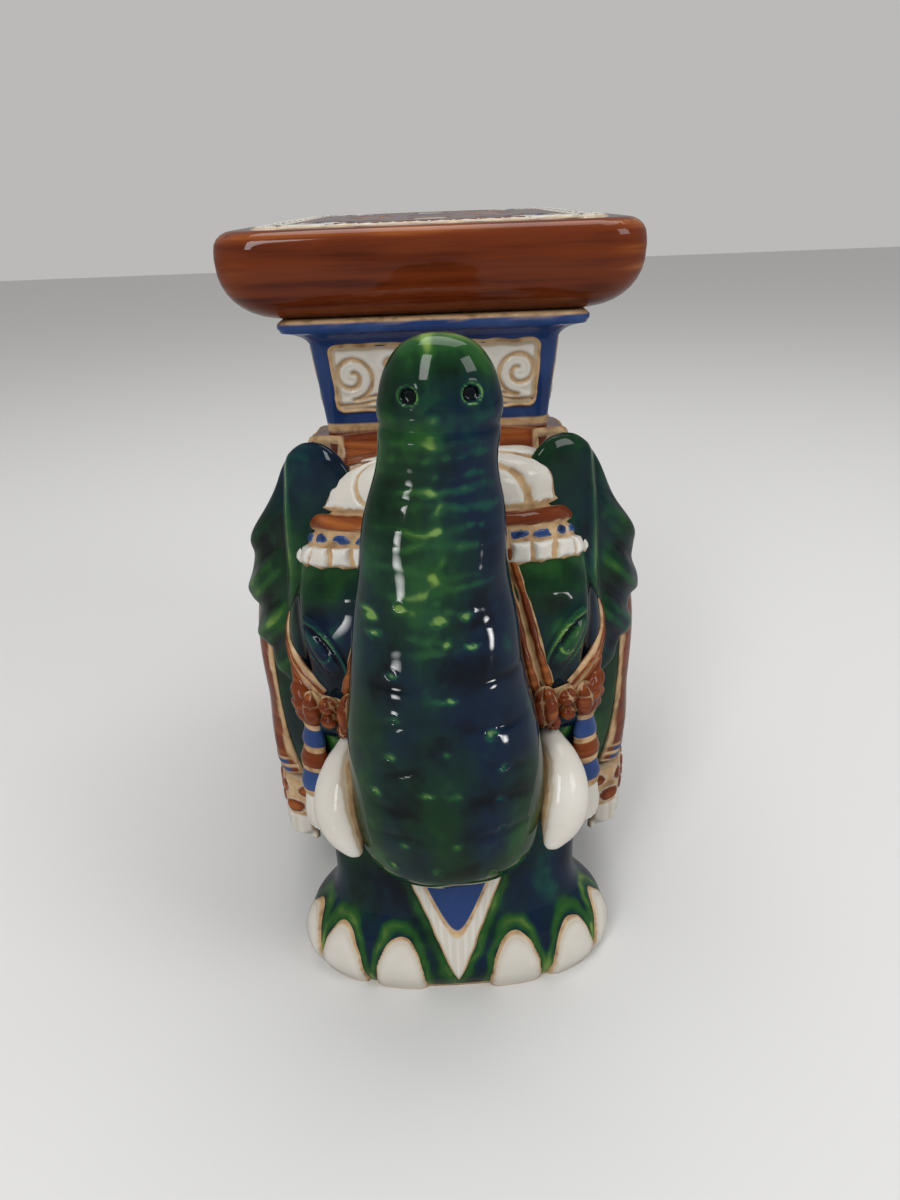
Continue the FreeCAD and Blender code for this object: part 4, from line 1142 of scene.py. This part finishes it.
for name, side in (("left", 1), ("right", -1)):
    z = np.linspace(cloth["hem"], cloth["end"], 190)
    lean = np.interp(z, [cloth["shoulder"], cloth["top"]], [0, cloth["sweep"]])
    share = np.linspace(0, 1, 200)
    y = (cloth["front"] + lean)[:, None] * (1 - share) + cloth["rear"] * share
    inner = vectors(0, y, (z + (cad["girth"] - z) * 0.35)[:, None] + y * 0)
    target = vectors(side * 120.0, y, z[:, None] + y * 0)
    under = relaxed(cast(body_tree, inner, target - inner), 3)
    outward = facing(normals(under, False), np.array([side * 1.0, 0, 0]))
    from_front = share[None] * (cloth["rear"] - cloth["front"] - lean)[:, None]
    from_rear = (cloth["rear"] - cloth["front"] - lean)[:, None] - from_front
    from_hem = z[:, None] - cloth["hem"] + y * 0
    rim = np.minimum(from_front, from_rear) + waves(under, 14, 71) * 0.5
    u, v = y - (cloth["front"] + cloth["rear"]) / 2, z[:, None] - picture["height"] + y * 0
    petals, far = flower(u, v, picture["flower"], 8)
    inner_petals, _ = flower(u, v, picture["inner_flower"], 8, math.pi / 8)
    heart = picture["heart"] - far
    leaf_u, leaf_v = np.abs(u) - 62, np.abs(v) - 26
    leaf = 9 - np.hypot((leaf_u * 0.8 + leaf_v * 0.6) / 2.0, (leaf_v * 0.8 - leaf_u * 0.6) * 1.2)
    bud = 6 - np.hypot(np.abs(u) - 64, v)
    frame_line = np.maximum(np.abs(u) - picture["half_length"], np.abs(v) - picture["half_height"])
    wavy_rim = rim - 2.6 - 0.5 * np.sin(z[:, None] / 5.5)
    line = np.minimum.reduce([np.abs(petals), np.abs(inner_petals), np.abs(heart), np.abs(frame_line),
                              np.abs(wavy_rim), np.abs(leaf), np.abs(bud)])
    line = line + waves(under, 6, 72) * 0.15
    upper = step_up(from_hem, 12.5, 14)
    ridge = 1 - (1 - step_up(line, 0.4, 1.6)) * upper
    bare = (1 - step_up(line, 0.55, 1.15)) * upper
    bare = np.maximum(bare, 1 - step_up(rim, 0.3, 1.0))
    blue_stripes = np.maximum(between(from_hem, 8.0, 12.0), between(from_hem, 1.5, 5.5))
    bare = np.maximum(bare, (1 - blue_stripes) * (1 - step_up(from_hem, 13.0, 13.8)))
    blue = np.maximum(blue_stripes, np.maximum(step_up(heart, 0.3, 1), step_up(leaf, 0.3, 1)))
    blue = blue * step_up(rim, 4, 5)
    white = step_up(petals, 0.3, 1) * step_up(-inner_petals, 0, 0.6)
    white = np.maximum(white, step_up(bud, 0.3, 1))
    bare = np.maximum(bare, (1 - step_up(wavy_rim, -0.4, 0.4)) * upper)
    flare = 6.5 * (1 - step_up(from_hem, 0, 60))
    height = cloth["relief"] * 0.8 + 0.7 * ridge + flare + waves(under, 40, 73) * 0.5
    height = height * (0.12 + 0.88 * step_up(rim, -4, 13)) - 0.5 + 0.7 * blue_stripes
    height = height + 0.9 * step_up(petals, 0, 5) + 0.5 * step_up(inner_petals, 0, 4)
    height = height + 0.6 * step_up(leaf, 0, 3)
    inside = under[len(z) // 2, int(0.55 * len(share))] * 0.5
    clay(f"{name}_saddle_flap", *pad(under + outward * height[..., None], inside, {
        "bare": bare, "blue": blue, "white": white * (1 - blue),
        "thin": 0.16 * ridge - 0.10 + 0.05 * waves(under, 30, 74)}), "brown_glaze", ["saddle_cloth"])

# Over the back the cloth lies round the foot of the block, here by its half width along it.
saddle_halves = ((-144.0, 52.0), (-94.0, 57.0), (-76.0, 76.0), (168.0, 76.0), (186.0, 50.0))
places, halves = np.array(saddle_halves).T
rows_y = np.linspace(places[0] + shift, places[-1] + shift, 170)
end_half = np.interp(rows_y, places + shift, halves)
share = np.linspace(-1, 1, 90)
x = end_half[:, None] * share
above = vectors(x, rows_y[:, None] + x * 0, 400.0)
under = above.copy()
down = above * 0 + np.array([0, 0, -1.0])
on_body, on_head = (cast(tree, above, down) for tree in (body_tree, head_tree))
under[..., 2] = relaxed(np.maximum(on_body, on_head), 6)[..., 2]
outward = facing(normals(under, False), np.array([0, 0, 1.0]))
rim = np.minimum(end_half[:, None] - np.abs(x), rows_y[:, None] - rows_y[0] + x * 0 + 4)
rim = np.minimum(rim, rows_y[-1] - rows_y[:, None] + x * 0)
rim = rim + waves(under, 12, 75) * 0.4
height = cloth["relief"] * step_up(rim, -0.5, 2.5) + 0.5
clay("saddle_top", *pad(under + outward * height[..., None], [(0, 40, 240)], {
    "bare": 1 - step_up(rim, 3.2, 4.4), "thin": 0.05 + 0.1 * step_up(rim, 4, 9)}), "brown_glaze",
     ["saddle_cloth"])


# The hem: two rows of brown knots on cream slip, and a white fringe that hangs straight down
# below the cloth, combed into strands with a rounded end each.
fringe = {"foot": 48.0, "thickness": 9.0, "relief": 7.0, "knots": 66.0, "low_row": 73.5,
          "high_row": 85.5, "pitch": 13.0, "strand": 6.6}
for name, side in (("left_hem_fringe", 1), ("right_hem_fringe", -1)):
    y = np.linspace(cloth["front"], cloth["rear"], 340)
    line = cast(body_tree, vectors(0, y, cloth["hem"]), vectors(side, y * 0, 0))
    way = np.gradient(line, axis=0)
    out = np.cross(way, [0, 0, 1.0])
    out /= np.linalg.norm(out, axis=1, keepdims=True)
    out = facing(out, np.array([side, 0, 0]))
    along = travel(line[None], 1)[0]
    z = np.linspace(fringe["foot"] - 1.5, cloth["hem"] + 1.0, 62)
    flat = line[None] * [1, 1, 0] + vectors(0, 0, z)[:, None]
    outward = np.broadcast_to(out[None], flat.shape)
    row_low = np.hypot(cells(along - 6.0, fringe["pitch"])[None], (z[:, None] - fringe["low_row"]) / 1.1)
    row_high = np.hypot(cells(along + 0.5, fringe["pitch"])[None], (z[:, None] - fringe["high_row"]) / 1.05)
    knot_gap = np.maximum(5.0 - row_low, 4.8 - row_high) + waves(flat, 8, 81) * 0.35
    strand = np.abs(np.sin(math.pi * along / fringe["strand"]))[None]
    tip = fringe["foot"] + 5 * (1 - np.abs(np.sin(math.pi * along / (2 * fringe["strand"])))) ** 1.5
    below = step_up(z[:, None], tip[None] - 0.5, tip[None] + 4)
    fringed = step_up(fringe["knots"] - z, -0.6, 0.6)[:, None]
    height = fringe["relief"] + 5.6 - 0.6 * step_up(z, 80, 92)[:, None]
    height = height + 1.7 * step_up(knot_gap, -0.4, 2.4) + fringed * (1.3 * strand ** 0.6 - 0.9)
    height = height - 0.8 * mound(z - fringe["knots"], 1.6)[:, None]
    front_round = step_up(along[None], -6, 11) * step_up(along[-1] - along[None], -6, 11)
    height = (height * (0.25 + 0.75 * below)) * (0.05 + 0.95 * front_round)
    top = flat + outward * (height + waves(flat, 30, 82) * 0.4)[..., None]
    back = flat + outward * (fringe["relief"] - fringe["thickness"])
    bare = np.maximum((1 - step_up(knot_gap, -0.2, 0.5)) * (1 - fringed),
                      0.75 * (1 - step_up(strand, 0.05, 0.2)) * fringed)
    clay(name + "_strands", *pad(top, back, {
        "bare": np.clip(bare, 0, 1), "brown": step_up(knot_gap, 0.1, 0.7) * (1 - fringed),
        "thin": 0.10 + 0.15 * step_up(knot_gap, 1, 3) - 0.15 * (1 - strand) * fringed}),
         "white_glaze", [name])


# The block: a hollow box that stands in the back and flares out under the seat. It is cut from
# slabs, with its corners and the hollow moulding under the flange rubbed smooth.
block = {"foot": 313.0, "height": 61.0, "front": -86.0 + shift, "width": 126.0, "length": 262.0,
         "flare": 5.0, "overhang": 19.0, "lip": 4.0, "cove": 12.0, "corner": 7.0}
block_middle = block["front"] + block["length"] / 2
block_top = block["foot"] + block["height"]


def turned_slab(name, half_x, half_y, corner, steps, segments):
    """A slab that is drawn up step by step, each step with its height and its spread."""
    bpy.ops.object.select_all(action="DESELECT")
    bpy.ops.mesh.primitive_plane_add(size=2, location=(0, 0, 0))
    slab = bpy.context.object
    slab.name = name
    middle = (0, block_middle * mm, 0)
    bpy.ops.object.mode_set(mode="EDIT")
    bpy.ops.mesh.select_all(action="SELECT")
    (z, spread), later = steps[0], steps[1:]
    bpy.ops.transform.resize(value=((half_x + spread) * mm, (half_y + spread) * mm, 1))
    bpy.ops.transform.translate(value=(0, block_middle * mm, z * mm))
    bpy.ops.mesh.bevel(offset=corner * mm, segments=segments, affect="VERTICES", clamp_overlap=False)
    for next_z, next_spread in later:
        bpy.ops.mesh.extrude_region_move(TRANSFORM_OT_translate={"value": (0, 0, (next_z - z) * mm)})
        wider = ((half_x + next_spread) / (half_x + spread), (half_y + next_spread) / (half_y + spread), 1)
        bpy.ops.transform.resize(value=wider, center_override=middle)
        z, spread = next_z, next_spread
    bpy.ops.mesh.select_all(action="SELECT")
    bpy.ops.mesh.normals_make_consistent(inside=False)
    bpy.ops.object.mode_set(mode="OBJECT")
    return slab


def divided(piece, width):
    """Cuts the long straight stretches of a slab into short ones, so that it takes marks."""
    bpy.ops.object.mode_set(mode="EDIT")
    bpy.ops.mesh.select_all(action="SELECT")
    for axis, low, high in ((0, -130, 130), (1, block_middle - 180, block_middle + 180)):
        for place in np.arange(low, high, width):
            spot, across = [0, 0, 0], [0, 0, 0]
            spot[axis], across[axis] = place * mm, 1
            bpy.ops.mesh.select_all(action="SELECT")
            bpy.ops.mesh.bisect(plane_co=spot, plane_no=across)
    bpy.ops.object.mode_set(mode="OBJECT")


def finish(piece, slot, nodes, painted, smooth=math.radians(35)):
    """Marks, smooth shading and the glaze for a piece that was modelled on the bench."""
    mesh = piece.data
    places = np.zeros(len(mesh.vertices) * 3)
    mesh.vertices.foreach_get("co", places)
    places = places.reshape(-1, 3) / mm
    for key, value in painted(places).items():
        values = np.asarray(value, np.float32) + np.zeros(len(places), np.float32)
        mesh.attributes.new(key, "FLOAT", "POINT").data.foreach_set("value", values)
    bpy.ops.object.select_all(action="DESELECT")
    piece.select_set(True)
    bpy.context.view_layer.objects.active = piece
    bpy.ops.object.shade_smooth_by_angle(angle=smooth)
    mesh.materials.append(slots[slot])
    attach(piece, "root")
    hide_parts(*nodes)


foot_z, neck_z = block["foot"] - 28.0, block_top - block["lip"] - block["cove"]
steps = [(foot_z, 0.0), (block["foot"] - 6, 0.0)]
steps += [(block["foot"] + rise, max(0.0, block["flare"] * rise / (neck_z - block["foot"])))
          for rise in (-3, -1, 1, 2, 2.6, 3.2, 4, 6, 12, 18, 24, 30, 36)]
for turn in (0, 12, 24, 36, 48, 58, 66):
    angle = math.radians(turn)
    steps.append((neck_z + 0.92 * block["cove"] * math.sin(angle),
                  block["flare"] + (block["overhang"] - block["flare"]) * (1 - math.cos(angle)) / 0.62))
steps += [(block_top - 4.6, block["overhang"] + 0.1), (block_top - 3.2, block["overhang"] + 0.9),
          (block_top - 1.6, block["overhang"] + 0.9), (block_top - 0.5, block["overhang"]),
          (block_top, block["overhang"] - 1.4), (block_top + 0.4, block["overhang"] - 3.5)]
slab = turned_slab("flared_block", block["width"] / 2, block["length"] / 2, block["corner"], steps, 6)
divided(slab, 8.0)


def block_marks(places):
    """Bare lines at the block's foot and along its flange, and brown cloth below the foot."""
    z = places[:, 2]
    uneven = waves(places, 20, 91)
    foot_line = 1 - step_up(z, block["foot"] + 2.2, block["foot"] + 3.0)
    top_line = step_up(z + 0.5 * uneven, block_top - 1.4, block_top - 0.8)
    cloth_below = 1 - step_up(z, block["foot"] - 2.0, block["foot"] - 1.4)
    return {"bare": np.maximum(foot_line * (1 - cloth_below), top_line), "brown": cloth_below,
            "thin": 0.10 * step_up(z, neck_z + 2, block_top - 4) + 0.05 * uneven - 0.04}


finish(slab, "blue_glaze", ["saddle_block"], block_marks)


# The panels: a thin plate on each face of the block, cut with scrolls. White glaze fills the
# plate up to a bare outline, and the grooves stay tan.
panel = {"margin": 4.0, "bottom": 9.0, "corner": 6.0, "scroll": 13.0, "curl": 4.2}
scroll_tail = ((-13, -11), (-22, -12.5), (-33, -8), (-38, 0))
curl_tail = ((-7, -3), (-10, -9))
leaf_line = ((-14, -13), (-9, -15), (4, -14.5), (12, -13))
lozenge = ((0, -12), (-4, -4), (0, 6), (4, -4), (0, -12))


def volute(middle_u, middle_v, size, hand, tail):
    """The line of a scroll, from its eye outwards and on into its tail."""
    t = np.linspace(0, 1, 40)
    turn = math.pi * (0.6 + 2.9 * t)
    radius = size * (0.18 + 0.82 * t ** 0.9)
    curl = np.stack([middle_u + hand * radius * np.cos(turn), middle_v + radius * np.sin(turn)], axis=-1)
    return np.concatenate([curl, [(middle_u + hand * du, middle_v + dv) for du, dv in tail]])


def line_gap(u, v, line):
    """Distance from each place to the nearest stretch of a line."""
    gap = np.full(np.broadcast(u, v).shape, 1e3)
    for (au, av), (bu, bv) in zip(line[:-1], line[1:]):
        du, dv = bu - au, bv - av
        share = np.clip(((u - au) * du + (v - av) * dv) / (du * du + dv * dv), 0, 1)
        gap = np.minimum(gap, np.hypot(u - au - share * du, v - av - share * dv))
    return gap


panel_low, panel_high = block["foot"] + panel["bottom"], neck_z + 2.5
panel_middle = (panel_low + panel_high) / 2
parts = []
for way, scrolls, columns, half, reach in (
        ((0, -1.0, 0), 1, 216, block["width"] / 2, block["length"] / 2),
        ((0, 1.0, 0), 1, 216, block["width"] / 2, block["length"] / 2),
        ((1.0, 0, 0), 2, 368, block["length"] / 2, block["width"] / 2),
        ((-1.0, 0, 0), 2, 368, block["length"] / 2, block["width"] / 2)):
    facing_way = np.array(way)
    half = half - panel["margin"]
    across = np.cross([0, 0, 1.0], facing_way)
    u = np.linspace(-half, half, columns)
    z = np.linspace(panel_low - 0.5, panel_high + 0.5, 84)
    spread = block["flare"] * np.minimum(1, (z - block["foot"]) / (neck_z - block["foot"]))
    spread = spread + (z > neck_z) * (block["overhang"] - block["flare"]) * (
        1 - np.sqrt(1 - np.clip((z - neck_z) / block["cove"], 0, 1) ** 2))
    middle = np.array([0, block_middle, 0])
    wide = 1 - 0.045 * (panel_high - z) / (panel_high - panel_low)
    under = (middle + across * (u * wide[:, None])[..., None] + vectors(0, 0, z)[:, None]
             + facing_way * (reach + spread)[:, None, None])
    v = (z - panel_middle)[:, None]
    corner = np.hypot(np.maximum(np.abs(u)[None] - half + panel["corner"], 0),
                      np.maximum(np.abs(v) - (z[-1] - z[0]) / 2 + panel["corner"], 0))
    edge = panel["corner"] - corner
    edge = np.minimum(edge, half - np.abs(u)[None])
    edge = np.minimum(edge, (z[-1] - z[0]) / 2 - np.abs(v)) + waves(under, 12, 92) * 0.5
    lines = [lozenge]
    for hand in (-1, 1):
        for place in ((-47.0 * hand,) if scrolls == 1 else (-46.0 * hand, -104.0 * hand)):
            lines.append(volute(place, 1.0, panel["scroll"], -hand, scroll_tail))
            lines.append(volute(place + hand * 22, 7.0, panel["curl"], -hand, curl_tail))
            lines.append([(place + hand * du, dv) for du, dv in leaf_line])
    groove = np.minimum.reduce([line_gap(u[None], v, line) for line in lines])
    groove = groove + waves(under, 5, 93) * 0.15
    cut = mound(groove, 1.15) * step_up(edge, 2, 4)
    height = -0.6 + 1.7 * step_up(edge, 0, 1.2) - 0.9 * mound(edge - 2.6, 0.9) + 0.5 * step_up(edge, 3, 6)
    height = height - 1.0 * cut + 0.5 * mound(groove - 2.6, 1.5) + waves(under, 16, 94) * 0.2
    bare = np.maximum(1 - step_up(edge, 2.2, 3.4), step_up(cut, 0.35, 0.8) * 0.85)
    tan = mound(edge - 3.6, 1.4) + 0.8 * mound(groove, 1.7)
    inside = middle + facing_way * (reach - 12) + np.array([0, 0, panel_middle])
    parts.append(pad(under + facing_way * height[..., None], [inside],
                     {"bare": bare, "thin": 0.12 - 0.70 * tan - 0.3 * cut}))
clay("scroll_panels", *joined(parts), "white_glaze", ["block_panels"])


# The seat: a hollow slab like a cushion, beaten round at its lower edge, dipped in brown
# glaze, which is brushed along its sides and breaks pale along the upper edge.
seat = {"half_x": 111.5, "half_y": 161.0, "corner": 18.0, "thickness": 45.0, "top_round": 9.0,
        "bottom_round": 28.0}
steps = []
for turn in (4, 12, 22, 32, 42, 52, 62, 72, 82, 90):
    angle = math.radians(turn)
    steps.append((block_top + seat["bottom_round"] * (1 - math.cos(angle)),
                  -seat["bottom_round"] * (1 - math.sin(angle))))
steps[0] = (block_top, steps[0][1])
top = block_top + seat["thickness"]
steps.append((top - seat["top_round"] - 4.0, 0.3))
for turn in (0, 18, 36, 54, 72, 85):
    angle = math.radians(turn)
    steps.append((top - seat["top_round"] * (1 - math.sin(angle)),
                  -seat["top_round"] * (1 - math.cos(angle))))
steps.append((top, -seat["top_round"] - 3.0))
slab = turned_slab("cushion_slab", seat["half_x"], seat["half_y"], seat["corner"], steps, 12)
divided(slab, 8.0)


def seat_marks(places):
    """Thin glaze along the seat's upper edge and where its ends bulge."""
    x, y, z = places.T
    inset = np.minimum(seat["half_x"] - np.abs(x), seat["half_y"] - np.abs(y - block_middle))
    edge = mound(z - top + 2.2, 2.2) * step_up(12 - inset, 0, 4)
    bulge = step_up(np.abs(x) / 111, 0.72, 0.95) * mound(z - block_top - 22, 12)
    return {"thin": 0.32 * edge + 0.16 * bulge + 0.05 * waves(places, 45, 95) - 0.08}


finish(slab, "brown_glaze", ["seat_slab"], seat_marks, math.radians(60))


# The top: a low inlaid field of painted glazes, each colour fenced in by a line of bare clay:
# a border of petals, flowers in the corners and a round flower in the middle of brown ground.
inlay = {"half_x": 94.5, "half_y": 144.0, "corner": 20.0, "top": 420.0, "border": 16.0,
         "petal_pitch": 12.6, "petal_line": 8.5, "rose": 52, "ring": 33, "centre": 14}
x = np.linspace(-inlay["half_x"], inlay["half_x"], 238)[None]
y = np.linspace(-inlay["half_y"], inlay["half_y"], 352)[:, None]
under = vectors(x + y * 0, y + x * 0 + block_middle, inlay["top"] - 1.2)
beyond = np.hypot(np.maximum(np.abs(x) - inlay["half_x"] + inlay["corner"], 0),
                  np.maximum(np.abs(y) - inlay["half_y"] + inlay["corner"], 0))
edge = np.minimum(inlay["corner"] - beyond,
                  np.minimum(inlay["half_x"] - np.abs(x), inlay["half_y"] - np.abs(y)))
edge = edge + waves(under, 14, 96) * 0.3
by_side = (inlay["half_x"] - np.abs(x)) < (inlay["half_y"] - np.abs(y))
along = np.where(by_side, y + x * 0, x + y * 0)
petal = 5.6 - np.hypot(cells(along, inlay["petal_pitch"]), (edge - inlay["petal_line"]) * 1.15)
bead = 2.3 - np.hypot(cells(along, inlay["petal_pitch"]), edge - inlay["petal_line"])
field = edge - inlay["border"]
corner_u = inlay["half_x"] - 32 - np.abs(x) + y * 0
corner_v = inlay["half_y"] - 34 - np.abs(y) + x * 0
bloom, bloom_far = flower(corner_u, corner_v, 21, 6, 0.3)
bloom_heart = 7.5 - bloom_far
spray = 8 - np.hypot((corner_u - 22) / 1.7 + (corner_v - 10) * 0.3,
                     (corner_v - 10) * 1.3 - (corner_u - 22) * 0.3)
spray = np.maximum(spray, 8 - np.hypot((corner_v - 24) / 1.7 + (corner_u - 4) * 0.3,
                                       (corner_u - 4) * 1.3 - (corner_v - 24) * 0.3))
rose, rose_far = flower(x + y * 0, y + x * 0, inlay["rose"], 12)
ring, _ = flower(x + y * 0, y + x * 0, inlay["ring"], 12, math.pi / 12)
centre = inlay["centre"] - rose_far
side_bud = 11 - np.hypot((np.abs(y) - 82) / 1.5 + x * 0, x + y * 0)
pattern = (petal, bead, field, bloom, bloom_heart, spray, rose, ring, centre, side_bud)
line = np.minimum.reduce([np.abs(part) for part in pattern] + [np.abs(edge - 1.0), np.abs(edge - 14.5)])
line = line + waves(under, 5, 97) * 0.12
every_second = np.round(along / inlay["petal_pitch"]) % 2 == 0
blue = np.maximum.reduce([step_up(petal, 0, 0.5) * step_up(-bead, 0, 0.5) * every_second,
                          step_up(bloom_heart, 0, 0.5), step_up(spray, 0, 0.5) * (field > 1),
                          step_up(ring, 0, 0.5) * step_up(-centre, 0, 0.5)])
brown = step_up(field, 0, 0.5) * (bloom < 0) * (spray < 0) * (ring < 0) * (side_bud < 0)
brown = np.maximum(brown, step_up(centre, 0, 0.5))
peach = step_up(rose, 0, 0.6) * step_up(-ring, 0, 0.5)
brown = np.maximum(brown, peach)
bare = 1 - step_up(line, 0.45, 0.95)
height = 0.9 * step_up(edge, 0, 1.6) * step_up(line, 0.2, 2.0) + 0.9 * step_up(edge, -0.5, 1)
height = height - 3.0 * (1 - step_up(edge, -2.5, -0.2)) + waves(under, 40, 98) * 0.1 - 0.1
clay("painted_top", *pad(under + vectors(0, 0, height), [(0, block_middle, inlay["top"] - 12)], {
    "bare": bare, "blue": blue * (1 - bare), "brown": brown * (1 - blue),
    "thin": 0.10 + 0.42 * peach - 0.12 * brown + 0.05 * waves(under, 25, 99)}), "white_glaze",
     ["seat_inlay"])


# The tail: a roll of clay laid down the rump and swung to one side, combed at its tuft.
tail = {"root": 262.0, "drop": 178.0, "radius": 7.0, "swing": 15.0, "behind": 194.0 + shift}
tail_shares = (
    (-0.01, 0.00, -1.80, 0.40),
    (0.00, 0.00, -1.60, 1.35),
    (0.14, 0.20, -0.10, 1.15),
    (0.34, 0.60, 0.75, 1.00),
    (0.56, 0.90, 0.85, 0.90),
    (0.74, 1.00, 0.45, 1.00),
    (0.87, 1.00, 0.00, 1.45),
    (1.00, 1.00, -0.60, 0.55),
    (1.01, 1.00, -0.70, 0.05),
)
path = smooth_rows([(swing * tail["swing"], tail["behind"] + behind * tail["radius"],
                     tail["root"] - drop * tail["drop"], share * tail["radius"])
                    for drop, swing, behind, share in tail_shares], 200)
grid = rod_form(path, 96)
outward = normals(grid, True)
spin = np.linspace(0, 2 * math.pi, 96, endpoint=False)[None]
tuft = step_up(tail["root"] - 0.76 * tail["drop"] - grid[..., 2], 0, 10)
comb = np.abs(np.sin(4.5 * spin + grid[..., 2] / 16)) * tuft
grid = grid + outward * (0.9 * comb - 0.5 * tuft + waves(grid, 30, 101) * 0.4)[..., None]
grid = meet(grid, outward, [body_tree], 6)
thin = -0.05 + 0.25 * comb + 0.05 * waves(grid, 20, 102)
clay("combed_tail", *closed(grid), {"thin": thin}, "green_glaze", ["tail"])
